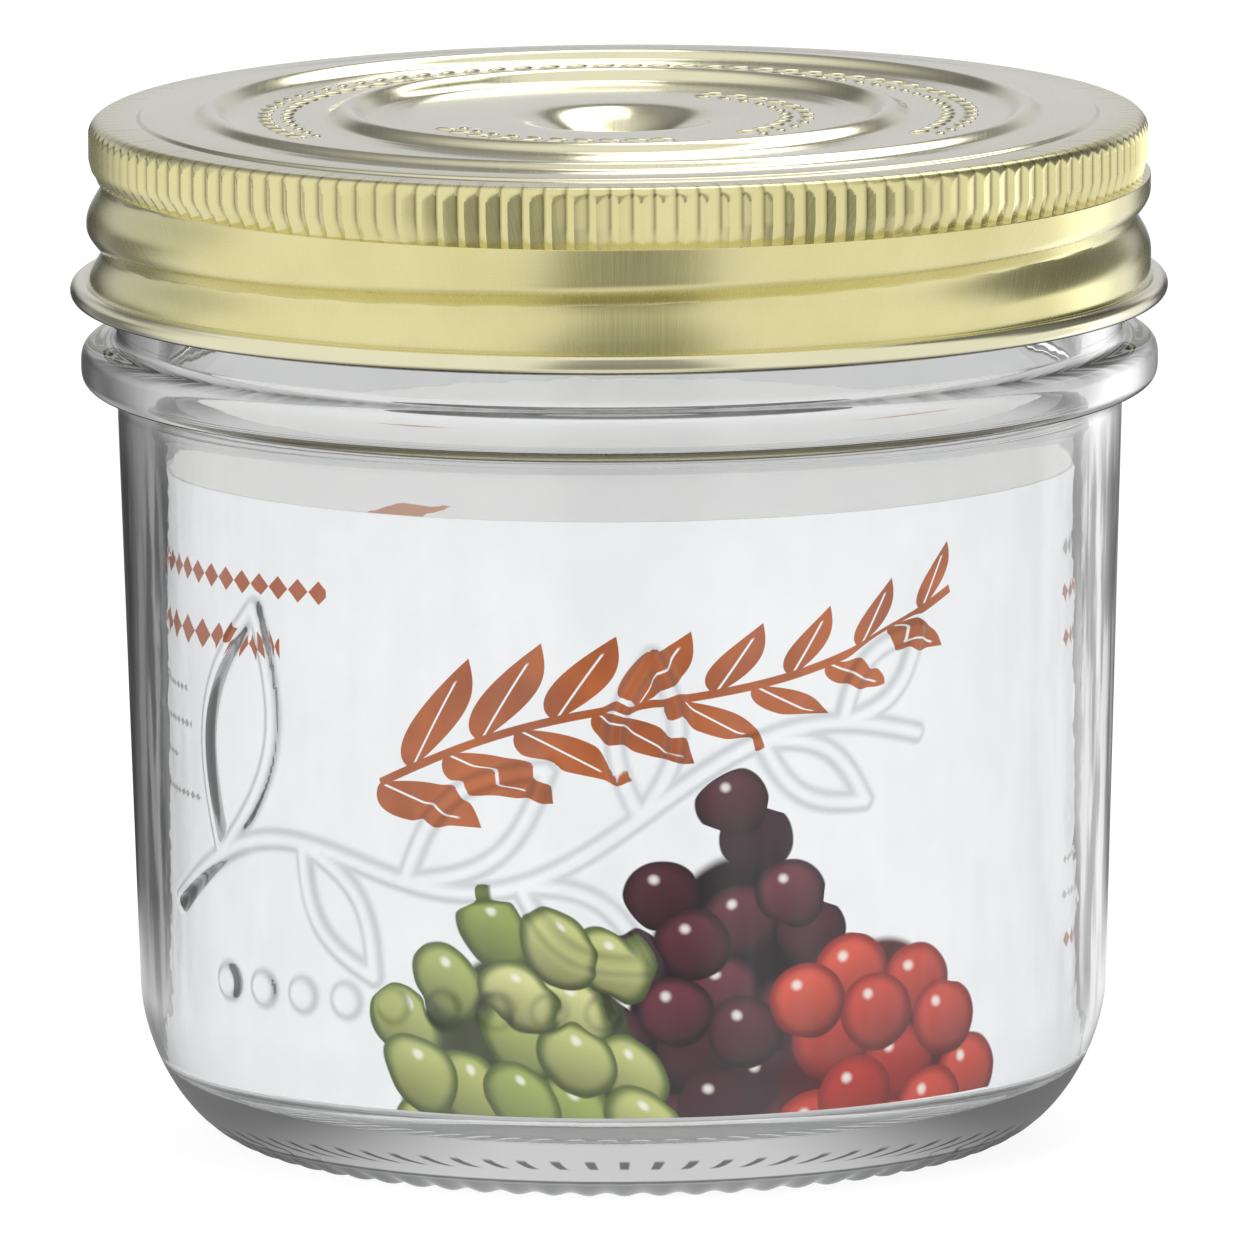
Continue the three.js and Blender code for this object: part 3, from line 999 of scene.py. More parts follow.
# Painted shade at the foot: dark lines along the scallops, a dark band and a dark line low on the heel.
scallop_shade = edge_of(ridge) * wire.ramp(z, *SCALLOP_TOP)
foot_band_shade = wire.ramp(z, *FOOT_BAND, 0.0, FOOT_BAND_TONE)
foot_line_shade = wire.ramp(wire.math("ABSOLUTE", z - FOOT_LINE), *LINE_EDGES)
foot = wire.math("MAXIMUM", wire.math("MAXIMUM", scallop_shade, foot_band_shade), foot_line_shade)
clean = wire.mix(smears, CLEAN_DEEP, CLEAN_LIGHT)
# Painted shade along the edges of the raised ornament.
relief_edge_shaded = wire.mix(edge_of(attribute(wire, "relief")), clean, RELIEF_EDGE_SHADE)
glass = {
    "Base Color": wire.mix(foot, relief_edge_shaded, FOOT_SHADE),
    "Roughness": wire.ramp(smears, 0.0, 1.0, 0.0, 0.02),
    "IOR": 1.5,
    "Transmission Weight": 1.0,
    "Normal": bump(wire, ripple, 0.08, 0.3 * MM),
}
look = wire.get("ShaderNodeBsdfPrincipled", glass)

# %% [markdown]
# Light that the glass has once mirrored inside its own wall goes straight on and is dimmed instead, in
# streaks up the wall, evenly at the neck and with small ticks in the base. That gives thick glass its greys
# without dozens of bounces. Light for the card goes straight through, because bent light on it would only
# be noise here.

# %% Light that goes straight through the glass
CLEAR_TINT = screen(252, 253, 253)
STREAK_SIZE, STREAK_SQUEEZE = 2.5 * MM, 0.12
STREAK_EDGES, STREAK_TONES = (0.15, 0.85), (0.16, 0.5)
NECK_FADE, NECK_TONE = (64 * MM, 76 * MM), 0.62
BASE_FADE, BASE_TONE = (9 * MM, 18 * MM), 0.75
TICK_INNER, TICK_OUTER, TICK_TONE = (27 * MM, 30 * MM), (37 * MM, 35 * MM), -0.58

streaks = clouds_at(wire, here * (1.0, 1.0, STREAK_SQUEEZE), STREAK_SIZE)
streak_tone = wire.ramp(streaks, *STREAK_EDGES, *STREAK_TONES)
wall_tone = wire.blend(wire.ramp(z, *NECK_FADE), streak_tone, NECK_TONE)
across = wire.length(here * (1.0, 1.0, 0.0))
ticks = ridge * wire.ramp(across, *TICK_INNER) * wire.ramp(across, *TICK_OUTER)
tone = wire.blend(wire.ramp(z, *BASE_FADE), ticks * TICK_TONE + BASE_TONE, wall_tone)
grey = wire.get("ShaderNodeCombineColor", {"Red": tone, "Green": tone, "Blue": tone})
dimmed = wire.get("ShaderNodeBsdfTransparent", {"Color": grey})
clear = wire.get("ShaderNodeBsdfTransparent", {"Color": CLEAR_TINT})
rays = wire.add("ShaderNodeLightPath").outputs
for ray, through in (("Is Reflection Ray", dimmed), ("Is Diffuse Ray", clear), ("Is Shadow Ray", clear)):
    look = wire.get("ShaderNodeMixShader", {0: Term(wire, rays[ray]), 1: look, 2: through})
wire.feed(surface, look)
print("glass finish:", len(clear_glass.node_tree.nodes), "nodes")

# %% [markdown]
# The blank runs from the middle of the base, up the outside, over the lip and down the inside. Its front
# has close rows and columns, fine enough for the raised ornament.

# %% The blank of the glass
RELIEF_FROM, RELIEF_TO = math.radians(196), math.radians(314)
RELIEF_STEP = 0.36 * MM
RELIEF_TOP = 63 * MM
BACK_COLUMNS, SIDE_COLUMNS = 78, 18
CURVE_STEPS = 26
FLOOR_STEPS = 12
NECK_ROWS, BORE_ROWS = 44, 24
RIDGE_FADE = (0.2 * MM, 2.6 * MM)

bearing_round = evenly(10 * BEARING_COUNT)
neck_round = evenly(240)
plain_round = evenly(128)
relief_columns = round((RELIEF_TO - RELIEF_FROM) * neck_radius / RELIEF_STEP)
relief_rows = round((RELIEF_TOP - HEEL_HEIGHT) / RELIEF_STEP)
wall_round = [
    *spaced(0, RELIEF_FROM, BACK_COLUMNS)[:-1],
    *spaced(RELIEF_FROM, RELIEF_TO, relief_columns)[:-1],
    *spaced(RELIEF_TO, TURN, SIDE_COLUMNS)[:-1],
]

under = [Ring(r, hollow_level(r), plain_round) for r in spaced(0, base_hollow - 2 * MM, FLOOR_STEPS)]
under += [Ring(base_hollow - MM, hollow_level(base_hollow - MM), bearing_round)]
foot = [Ring(r, 0, bearing_round, rib=1) for r in spaced(base_hollow, BASE_RADIUS, 4)]
heel = []
for share in spaced(0, 1, CURVE_STEPS)[1:-1]:
    r, z = heel_point(share)
    fading = 1 - smooth(z, *RIDGE_FADE)
    heel.append(Ring(r, z, bearing_round if fading else wall_round, rib=fading))
wall = [Ring(wall_radius(z), z, wall_round) for z in spaced(HEEL_HEIGHT, RELIEF_TOP, relief_rows)]
wall += [Ring(wall_radius(z), z, neck_round) for z in spaced(RELIEF_TOP, BODY_HEIGHT - FILLET, 5)[1:]]
wall += [Ring(neck_radius + FILLET, BODY_HEIGHT, neck_round)]
bead = []
for bend in spaced(-TURN / 4, TURN / 4, CURVE_STEPS)[1:-1]:
    out = math.cos(bend) ** (2 / BEAD_POWER)
    up = math.copysign(abs(math.sin(bend)) ** (2 / BEAD_POWER), bend)
    bead.append(Ring(neck_radius + bead_out * out, bead_top + BEAD_HEIGHT / 2 * (up - 1), neck_round))
lip_foot = jar_high.z - LIP_ROUND
neck_heights = spaced(bead_top + FILLET, lip_foot, NECK_ROWS)
neck = [Ring(neck_radius, z, neck_round, thread=1) for z in neck_heights]
lip = arc((neck_radius - LIP_ROUND, lip_foot), LIP_ROUND, LIP_ROUND, 15, 90, 5)
lip += arc((mouth_radius + LIP_ROUND, lip_foot), LIP_ROUND, LIP_ROUND, 90, 180, 6)
lip = [Ring(r, z, neck_round) for r, z in lip]
floor_top = FLOOR_THICKNESS + FLOOR_CURVE
bore = zip(spaced(mouth_radius, floor_radius, BORE_ROWS), spaced(lip_foot, floor_top, BORE_ROWS))
floor_curve = arc((BASE_RADIUS, floor_top), floor_radius - BASE_RADIUS, FLOOR_CURVE, 0, -90, FLOOR_STEPS)
floor = spaced(BASE_RADIUS - 2 * MM, 0, FLOOR_STEPS)
floor = [(r, FLOOR_THICKNESS + hollow_level(r)) for r in floor]
inside = [Ring(r, z, plain_round) for r, z in (*list(bore)[1:-1], *floor_curve, *floor)]
glass_rings = [*under, *foot, *heel, *wall, *bead, *neck, *lip, *inside]
glass_jar = turned_blank("glass_jar_pressing", glass_rings)
print("blank of the glass:", len(glass_jar.data.polygons), "faces")

# %% [markdown]
# The front of the glass carries a raised ornament, here a bay sprig with a row of dots under it. Its
# strokes are drawn flat, as ribbons, and wrapped onto the wall. They are only a guide: the glass's tree
# measures how far each of its points is from them and swells the wall there, so the ornament is part of the
# glass.

# %% The sprig on the glass
STROKE = 0.4 * MM
SPRIG_START = Vector((-55 * MM, 27 * MM))
SPRIG_END = Vector((31 * MM, 46 * MM))
SPRIG_WAVE, SPRIG_BENDS = 4.5 * MM, 1.5
LEAF_LENGTHS = (26, 15, 19, 15, 16, 13, 12)
FIRST_LEAF, LEAF_PITCH, LAST_LEAF = 0.10, 0.14, 0.90
LEAF_ANGLE = math.radians(50)
LEAF_FULLNESS = 0.19
DOTS, DOT_PITCH, DOT_RADIUS = 9, 5.5 * MM, 1.1 * MM
DOT_START = Vector((-46 * MM, 20 * MM))

guide = bmesh.new()


def on_wall(flat):
    """A point drawn flat, across from the front and up, on the wall of the glass."""
    radius = wall_radius(flat.y)
    angle = FRONT + flat.x / neck_radius
    return radius * math.cos(angle), radius * math.sin(angle), flat.y


def ribbon(points):
    """A stroke through flat points, as a strip of faces on the wall."""
    edges = []
    for index, point in enumerate(points):
        ahead = points[min(index + 1, len(points) - 1)] - points[max(index - 1, 0)]
        across = Vector((-ahead.y, ahead.x)).normalized() * STROKE / 2
        edges.append([guide.verts.new(on_wall(point + side * across)) for side in (-1, 1)])
    for (a, b), (c, d) in zip(edges, edges[1:]):
        guide.faces.new((a, c, d, b))


def stem_point(share):
    wave = SPRIG_WAVE * math.sin(SPRIG_BENDS * TURN * share)
    return SPRIG_START.lerp(SPRIG_END, share) + Vector((0, wave))


ribbon([stem_point(share) for share in spaced(0, 1, 60)])
for number, length in enumerate(LEAF_LENGTHS):
    share = min(FIRST_LEAF + number * LEAF_PITCH, LAST_LEAF)
    side = -1 if number % 2 else 1
    root = stem_point(share)
    heading = (stem_point(share + 0.01) - root).normalized()
    heading = Matrix.Rotation(side * LEAF_ANGLE, 2) @ heading * length * MM
    across = Vector((-heading.y, heading.x)) * LEAF_FULLNESS
    for edge in (-1, 1):
        ribbon([root + heading * t + across * edge * math.sin(math.pi * t) for t in spaced(0, 1, 24)])
for number in range(DOTS):
    middle = DOT_START + Vector((number * DOT_PITCH, 0))
    around = [middle + DOT_RADIUS * Vector((math.cos(a), math.sin(a))) for a in evenly(16)]
    guide.faces.new([guide.verts.new(on_wall(point)) for point in around])
sprig_guide = as_object("sprig_guide", guide)
print("sprig guide:", len(sprig_guide.data.polygons), "faces")

# %% The tree that presses the glass
glass_values = {
    "Bearing Count": float(BEARING_COUNT),
    "Bearing Depth": BEARING_DEPTH,
    **glass_ridge,
    "Relief": sprig_guide,
    "Relief Height": 0.45 * MM,
    "Relief Spread": 1.25 * MM,
    "Material": clear_glass,
}
wire, source, sink = shaping_tree("pressed_glass", glass_values)
x, y, z, angle, radius = place = polar_place(wire)
strokes = wire.get("GeometryNodeObjectInfo", {"Object": source["Relief"]}, "Geometry")
distance = wire.get("GeometryNodeProximity", {0: strokes}, "Distance", target_element="FACES")
swell = wire.ramp(distance, source["Relief Spread"], 0.0)
new_radius = radius + swell * source["Relief Height"] + thread_at(wire, source, angle, z)
ridges = (1.0 - wire.math("COSINE", angle * source["Bearing Count"])) * 0.5
ridges = ridges * source["Bearing Depth"] * mark_of(wire, "rib")
marked = keep_mark(wire, source["Geometry"], "relief", swell)
reshape(wire, source, sink, marked, place, new_radius, z + ridges)

run_tree(glass_jar, wire.tree, glass_values)
bpy.data.objects.remove(sprig_guide)
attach(glass_jar, "jar")
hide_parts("glass_jar")

# %% [markdown]
# ## The card
# A leaflet of thin white card is rolled up and stands inside the glass. It is a strip whose two ends meet
# at the back. Its UV map is the flat sheet in metres, across from the front and up from its foot, so the
# print can be drawn in real sizes. The inside gets its own part of the map.

# %% The rolled strip
CARD_THICKNESS = 0.3 * MM
CARD_GAP = 0.4 * MM
CARD_SLIT = 0.004 * MM
CARD_COLUMNS, CARD_ROWS = 160, 8
CARD_EDGE = math.radians(40)
INSIDE_SHIFT = 1.0

card_radius = floor_radius - CARD_GAP
card_foot = card_low.z
half_slit = CARD_SLIT / 2 / card_radius
card_angles = spaced(TURN / 4 + half_slit - TURN, TURN / 4 - half_slit, CARD_COLUMNS)
card_heights = spaced(card_foot, card_high.z, CARD_ROWS)
strip = bmesh.new()
print_map = strip.loops.layers.uv.new("print")
sides = [
    [[strip.verts.new((r * math.cos(a), r * math.sin(a), z)) for z in card_heights] for a in card_angles]
    for r in (card_radius, card_radius - CARD_THICKNESS)
]


def card_face(corners, shift):
    """One face of the card, with its place on the flat sheet."""
    face = strip.faces.new([sides[side][i][j] for side, i, j in corners])
    face.smooth = True
    for loop, (_, i, j) in zip(face.loops, corners):
        across = (card_angles[i] - FRONT + TURN) * card_radius
        loop[print_map].uv = (across + shift, card_heights[j] - card_foot)


def card_edge(first, second):
    """A narrow face between the outside and the inside, along an edge of the strip."""
    card_face([(0, *first), (0, *second), (1, *second), (1, *first)], INSIDE_SHIFT)


for i in range(CARD_COLUMNS):
    for j in range(CARD_ROWS):
        quad = ((i, j), (i + 1, j), (i + 1, j + 1), (i, j + 1))
        card_face([(0, *at) for at in quad], 0.0)
        card_face([(1, *at) for at in reversed(quad)], INSIDE_SHIFT)
    card_edge((i + 1, 0), (i, 0))
    card_edge((i, CARD_ROWS), (i + 1, CARD_ROWS))
for j in range(CARD_ROWS):
    card_edge((0, j), (0, j + 1))
    card_edge((CARD_COLUMNS, j + 1), (CARD_COLUMNS, j))
bmesh.ops.recalc_face_normals(strip, faces=strip.faces)
card_insert = as_object("card_insert_leaflet", strip)
card_insert.data.set_sharp_from_angle(angle=CARD_EDGE)
print("card:", len(card_insert.data.polygons), "faces")

# %% [markdown]
# The print is a rust bay sprig over heaps of fruit, with rows of lozenges at its sides. It could be an
# image, but this scene paints with nodes alone. Each motif is a group that answers one question: is this
# spot of the sheet inside me? The sprig repeats one leaf along its stem, on both sides of it.

# %% A printed sprig
LEAF_LEAN = math.radians(42)
LEAF_POINT = 0.8
PRINT_EDGE = 0.08 * MM
STEM_WAVE = -1.6 * MM
TIP_SIZE = 0.55
VEIN_EDGES, VEIN_END = (0.1 * MM, 0.2 * MM), (0.75, 0.8)

sprig_sizes = sockets("Float", "Turn", "Length", "Pitch", "Leaf Length", "Leaf Width", "Stem Width")
wire, source, sink = node_group(
    "ShaderNodeTree",
    "printed_sprig",
    {**sockets("Vector", "Vector", "Start"), **sprig_sizes},
    sockets("Float", "Mask"),
)


def within(wire, value, length):
    """1 where a value is between 0 and a length."""
    return wire.math("GREATER_THAN", value, 0.0) * wire.math("LESS_THAN", value, length)


length, pitch = source["Length"], source["Pitch"]
x, y, _ = wire.split(wire.spun(source["Vector"] - source["Start"], source["Turn"] * -1.0))
across = wire.math("SINE", x * TURN / length) * STEM_WAVE + y
out = wire.math("ABSOLUTE", across)
along = x - out / math.tan(LEAF_LEAN)
shifted = along + wire.math("LESS_THAN", across, 0.0) * (pitch * 0.5)
beside = wire.math("ABSOLUTE", (wire.math("FRACT", shifted / pitch) - 0.5) * pitch)
tapering = wire.ramp(along, length, 0.0, TIP_SIZE, 1.0)
reach = out / (source["Leaf Length"] * tapering * math.sin(LEAF_LEAN))
reach = wire.math("MINIMUM", reach, 1.0)
fullness = wire.math("SINE", wire.math("POWER", reach, LEAF_POINT) * math.pi)
leaf_edge = fullness * source["Leaf Width"] * tapering * (0.5 / math.sin(LEAF_LEAN))
leaf = wire.ramp(beside - leaf_edge, 0.0, -PRINT_EDGE) * within(wire, shifted, length)
vein = wire.math("MAXIMUM", wire.ramp(beside, *VEIN_EDGES), wire.ramp(reach, *VEIN_END))
stem = wire.ramp(out - source["Stem Width"] * 0.5, 0.0, -PRINT_EDGE) * within(wire, x, length)
wire.feed(sink["Mask"], wire.math("MAXIMUM", leaf * vein, stem))
printed_sprig = wire.tree
print("printed sprig:", len(printed_sprig.nodes), "nodes")

# %% [markdown]
# The heap uses Voronoi cells: every cell is one fruit, shaded like a ball lit from the upper left, and it
# is kept or dropped whole. A row of lozenges is one lozenge repeated.

# %% A heap of fruit
BALL, BALL_EDGE = 0.5, 0.03
STRAYING = 0.2
WOBBLES = 160.0
GLINT_AT, GLINT_EDGES = (-0.16, 0.18, 0.0), (0.1, 0.02)
LIGHT_FROM, LIGHT_BASE = (-0.6, 0.9, 0.0), 0.75
RIM_FROM, RIM_SHADE = 0.6 * BALL, 0.35
SKIN_RING = (0.7 * BALL, 0.95 * BALL)
FILLED = (0.86, 0.82)

wire, source, sink = node_group(
    "ShaderNodeTree",
    "fruit_heap",
    {
        **sockets("Vector", "Vector", "Middle", "Heap Size", "Fruit Size", "Shift"),
        **sockets("Float", "Turn", "Kept", "Filling", "Wobble"),
    },
    sockets("Float", "Mask", "Shade", "Gloss", "Tint", "Ring"),
)
heap, fruit, shift = source["Heap Size"], source["Fruit Size"], source["Shift"]
local = source["Vector"] - source["Middle"]
noise = wire.get("ShaderNodeTexNoise", {"Vector": local, "Scale": WOBBLES, "Detail": 1.0}, "Color")
wobble = wire.scaled((noise - (0.5, 0.5, 0.5)) * (1.0, 1.0, 0.0), source["Wobble"])
spot = wire.spun(local + wobble, source["Turn"]) / fruit + shift
cells = {"Vector": spot, "Scale": 1.0, "Randomness": STRAYING}
cells = wire.add("ShaderNodeTexVoronoi", cells, voronoi_dimensions="2D").outputs
cell_middle = Term(wire, cells["Position"])
tint, luck, _ = wire.split(Term(wire, cells["Color"]))
centre = wire.spun((cell_middle - shift) * fruit, source["Turn"], invert=True)
kept = wire.math("LESS_THAN", wire.length(centre / heap), 1.0) * wire.math("LESS_THAN", luck, source["Kept"])
offset = spot - cell_middle
reach = wire.length(offset)
body = wire.ramp(reach, BALL, BALL - BALL_EDGE) * kept
filling = wire.ramp(wire.length(local / heap), *FILLED) * source["Filling"]
facing = wire.vector("DOT_PRODUCT", offset, LIGHT_FROM, output=1) + LIGHT_BASE
wire.feed(sink["Mask"], wire.math("MAXIMUM", body, filling))
wire.feed(sink["Shade"], wire.ramp(reach, BALL, RIM_FROM, RIM_SHADE, 1.0) * facing * body)
wire.feed(sink["Gloss"], wire.ramp(wire.length(offset - GLINT_AT), *GLINT_EDGES) * body)
wire.feed(sink["Tint"], tint)
wire.feed(sink["Ring"], wire.ramp(reach, *SKIN_RING))
fruit_heap = wire.tree
print("fruit heap:", len(fruit_heap.nodes), "nodes")

# %% A row of lozenges
LOZENGE_EDGE = -0.06 * MM

wire, source, sink = node_group(
    "ShaderNodeTree",
    "lozenge_row",
    {**sockets("Vector", "Vector", "Start"), **sockets("Float", "Length", "Thickness", "Pitch")},
    sockets("Float", "Mask"),
)
x, y, _ = wire.split(source["Vector"] - source["Start"])
lozenge = 0.5 - wire.math("ABSOLUTE", wire.math("FRACT", x / source["Pitch"]) - 0.5)
edge = wire.math("ABSOLUTE", y) - lozenge * source["Thickness"]
wire.feed(sink["Mask"], wire.ramp(edge, 0.0, LOZENGE_EDGE) * within(wire, x, source["Length"]))
lozenge_row = wire.tree
print("lozenge row:", len(lozenge_row.nodes), "nodes")

# %% [markdown]
# The card itself is slightly cool white with a fine fibre. The motifs are laid over it from back to front:
# first the dark fruit, then the green and the red in front, then the sprig and the rows. Each heap is
# printed twice, a full layer of fruit and a few whole ones in front of it.

# %% White card and its heaps of fruit
FIBRE_WIDTH, FIBRE_LENGTH = 0.9 * MM, 0.25 * MM
FIBRE_TONE, CARD_CLOUD_TONE = 0.4, 0.6
CARD_CLOUD = 9 * MM
CARD_DEEP, CARD_LIGHT = screen(241, 241, 243), screen(246, 246, 247)
GLINT_WHITE, GLINT_SHARE = screen(250, 246, 238), 0.8
BACK_SHIFT, FRONT_SHIFT = (0.0, 0.0, 0.0), (0.5, 0.45, 0.0)
FRONT_KEPT = 0.6

white_card, wire, surface = new_finish("white_card")
sheet = wire.get("ShaderNodeUVMap", uv_map="print")
fibre = streaks_at(wire, sheet, FIBRE_WIDTH, FIBRE_LENGTH)
clouds = clouds_at(wire, sheet, CARD_CLOUD)
ink = wire.mix(fibre * FIBRE_TONE + clouds * CARD_CLOUD_TONE, CARD_DEEP, CARD_LIGHT)


def on_sheet(across, up, depth=0.0):
    """A place or a size on the flat sheet, from millimetres."""
    return across * MM, up * MM, depth


def print_heap(ink, middle, heap, fruit, turn, wobble, deep, light, gap, skin_ring):
    """Prints a heap over the ink: a full layer of fruit behind, and a few whole ones in front."""
    for shift, kept, filling in ((BACK_SHIFT, 1.0, 1.0), (FRONT_SHIFT, FRONT_KEPT, 0.0)):
        mask, shade, gloss, tint, ring = place_group(
            wire,
            fruit_heap,
            sheet,
            Middle=on_sheet(*middle),
            Heap_Size=on_sheet(*heap, 1.0),
            Fruit_Size=on_sheet(*fruit, 1.0),
            Turn=turn,
            Shift=shift,
            Kept=kept,
            Filling=filling,
            Wobble=wobble * MM,
        )
        skin = wire.mix(tint, screen(*deep), screen(*light))
        skin = wire.mix(ring, skin, screen(*skin_ring))
        skin = wire.mix(1.0 - shade, skin, screen(*gap))
        skin = wire.mix(gloss * GLINT_SHARE, skin, GLINT_WHITE)
        ink = wire.mix(mask, ink, skin)
    return ink


ink = print_heap(
    ink, middle=(11, -4), heap=(14.5, 35), fruit=(7.6, 7.2), turn=0.3, wobble=0.8,
    deep=(58, 22, 38), light=(120, 44, 62), gap=(30, 14, 22), skin_ring=(88, 32, 50),
)
ink = print_heap(
    ink, middle=(-9.5, -4), heap=(15.5, 24), fruit=(9.0, 6.4), turn=0.8, wobble=1.6,
    deep=(150, 166, 76), light=(222, 222, 150), gap=(66, 72, 34), skin_ring=(120, 142, 60),
)
ink = print_heap(
    ink, middle=(26, -4), heap=(13.5, 24), fruit=(8.2, 7.8), turn=0.2, wobble=0.8,
    deep=(178, 30, 22), light=(226, 86, 62), gap=(84, 16, 14), skin_ring=(196, 44, 32),
)
print("card with its heaps:", len(white_card.node_tree.nodes), "nodes")

# %% The sprig and the rows of lozenges
RUST, FADED_RUST = screen(176, 86, 36), screen(204, 158, 136)
GREY_INK = screen(168, 166, 164)
SPRIG_DEEP, SPRIG_LIGHT = screen(162, 78, 22), screen(196, 100, 34)
SPRIG_LEAVES, SPRIG_PITCH = 8, 7.6 * MM
LEFT, RIGHT, INSIDE = -66, 54, INSIDE_SHIFT / MM

sprig = place_group(
    wire,
    printed_sprig,
    sheet,
    Start=on_sheet(-24, 32),
    Turn=math.radians(17),
    Length=SPRIG_LEAVES * SPRIG_PITCH,
    Pitch=SPRIG_PITCH,
    Leaf_Length=12 * MM,
    Leaf_Width=4.6 * MM,
    Stem_Width=0.9 * MM,
)[0]
ink = wire.mix(sprig, ink, wire.mix(clouds, SPRIG_DEEP, SPRIG_LIGHT))


def print_rows(ink, colour, left, top, lengths, thick, pitch, drop=0.0):
    """Prints rows of lozenges under each other, in millimetres."""
    for row, length in enumerate(lengths):
        lozenges = place_group(
            wire,
            lozenge_row,
            sheet,
            Start=on_sheet(left, top - row * drop),
            Length=length * MM,
            Thickness=thick * MM,
            Pitch=pitch * MM,
        )[0]
        ink = wire.mix(lozenges, ink, colour)
    return ink


ink = print_rows(ink, RUST, LEFT, top=50, lengths=[36], thick=2.4, pitch=2.6)
ink = print_rows(ink, RUST, LEFT, top=44, lengths=[30], thick=3.0, pitch=3.2)
ink = print_rows(ink, GREY_INK, LEFT, top=38, lengths=[14, 15, 11, 17], thick=0.9, pitch=1.2, drop=3.5)
ink = print_rows(ink, GREY_INK, RIGHT, top=51, lengths=[18], thick=2.0, pitch=2.2)
ink = print_rows(ink, RUST, RIGHT, top=46.5, lengths=[15, 16], thick=2.0, pitch=2.2, drop=4.5)
ink = print_rows(ink, GREY_INK, RIGHT, top=20, lengths=[16, 13], thick=1.0, pitch=1.4, drop=3.5)
ink = print_rows(ink, RUST, RIGHT, top=12, lengths=[18], thick=1.8, pitch=2.0)
ink = print_rows(ink, FADED_RUST, INSIDE + 93, top=47.3, lengths=[20], thick=2.2, pitch=20)
ink = print_rows(ink, FADED_RUST, INSIDE - 122, top=47.3, lengths=[11.5], thick=2.2, pitch=11.5)
print("card with all its print:", len(white_card.node_tree.nodes), "nodes")

# %% [markdown]
# Thin card lets some light through, so its inside is given a faint glow in the colour of its print: painted
# light for what comes through from outside.

# %% The finish of the card
# Painted light: the inside of the card glows at this strength.
CARD_GLOW = 0.2
NO_GLOW = (0, 0, 0, 1)

inside_card = wire.math("GREATER_THAN", wire.split(sheet)[0], INSIDE_SHIFT / 2)
paper = {
    "Base Color": ink,
    "Emission Color": wire.mix(inside_card, NO_GLOW, ink),
    "Emission Strength": CARD_GLOW,
    "Roughness": wire.ramp(fibre, 0.0, 1.0, 0.5, 0.62),
    "Normal": bump(wire, fibre, 0.15, 0.02 * MM),
}
wire.feed(surface, wire.get("ShaderNodeBsdfPrincipled", paper))
card_insert.data.materials.append(white_card)
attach(card_insert, "jar")
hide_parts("card_insert")

# %% [markdown]
# ## The studio
# A product like this is shot on white, between white walls, with dark cards that draw an edge round clear
# glass and give metal something to mirror. The world plays all of that. What only lights the card is an
# even white. What metal mirrors and what glass bends is white too, with soft dark cards in it. A card's
# bearing is counted in degrees from straight behind the jar, or from straight in front of it, and its top
# is an elevation.

# %% The studio's dark cards
BACKDROP = 0.62
TOP_SOFTNESS = 12
BEHIND, IN_FRONT = 1, -1

wire, source, sink = node_group(
    "ShaderNodeTree", "studio_cards", {"Vector": "Vector"}, sockets("Float", "Mirrored", "Bent")
)
right, back, up = wire.split(wire.vector("NORMALIZE", source["Vector"]))


def climb(start, end):
    """A soft step while the elevation goes from start to end."""
    return wire.ramp(up, math.sin(math.radians(start)), math.sin(math.radians(end)))


def dark_card(side, bearing, half, soft, top):
    """How far a direction lies in a card of this half width, up to its top."""
    toward = wire.math("ARCTAN2", right, back * side)
    aside = wire.math("ABSOLUTE", toward - math.radians(bearing))
    across = wire.ramp(aside, math.radians(half + soft), math.radians(half - soft))
    return across * climb(top + TOP_SOFTNESS, top)


def lit(level, *shares):
    """Full brightness, brought toward a level by each share."""
    brightness = [share * (level - 1) + 1.0 for share in shares]
    return math.prod(brightness[1:], start=brightness[0])


low_camera = lit(0.85, dark_card(IN_FRONT, bearing=2, half=16, soft=6, top=0))
high_camera = lit(0.38, dark_card(IN_FRONT, bearing=2, half=16, soft=6, top=54))
left_card = lit(0.65, dark_card(BEHIND, bearing=-45, half=30, soft=9, top=30))
right_card = dark_card(BEHIND, bearing=58, half=28, soft=9, top=70)
right_card = lit(0.2, right_card * (climb(2, 11) * climb(66, 57)))
low_behind = lit(0.64, dark_card(BEHIND, bearing=0, half=22, soft=8, top=22))
limbs = lit(0.12, *(dark_card(BEHIND, bearing, half=12, soft=8, top=0) for bearing in (-22, 22)))
low_left = lit(0.26, dark_card(BEHIND, bearing=-49, half=14, soft=9, top=-2))
low_light = lit(2.4, dark_card(BEHIND, bearing=62, half=9, soft=6, top=-6))
ceiling = lit(0.3, climb(16, 26) * wire.ramp(back, 0.35, 0.75))
mirrored = low_camera * high_camera * left_card * right_card * low_behind
wire.feed(sink["Mirrored"], mirrored * limbs * low_left * low_light * ceiling)

left_edge = dark_card(BEHIND, bearing=-38, half=20, soft=9, top=12)
right_edge = dark_card(BEHIND, bearing=38, half=18, soft=9, top=12)
wire.feed(sink["Bent"], lit(0.1, left_edge, right_edge) * BACKDROP)
studio_cards = wire.tree
print("studio cards:", len(studio_cards.nodes), "nodes")

# %% The world
DOME_LIGHT = 0.8
WHITE = (1, 1, 1, 1)


def seen_level(wire, vector, direct, otherwise):
    """A level for the camera, the studio's cards for mirrored and bent rays, and a level for the rest."""
    rays = wire.add("ShaderNodeLightPath").outputs
    mirrored, bent = place_group(wire, studio_cards, vector)
    seen = otherwise
    for ray, level in (("Glossy", mirrored), ("Transmission", bent), ("Camera", direct)):
        seen = wire.blend(Term(wire, rays[f"Is {ray} Ray"]), seen, level)
    return seen


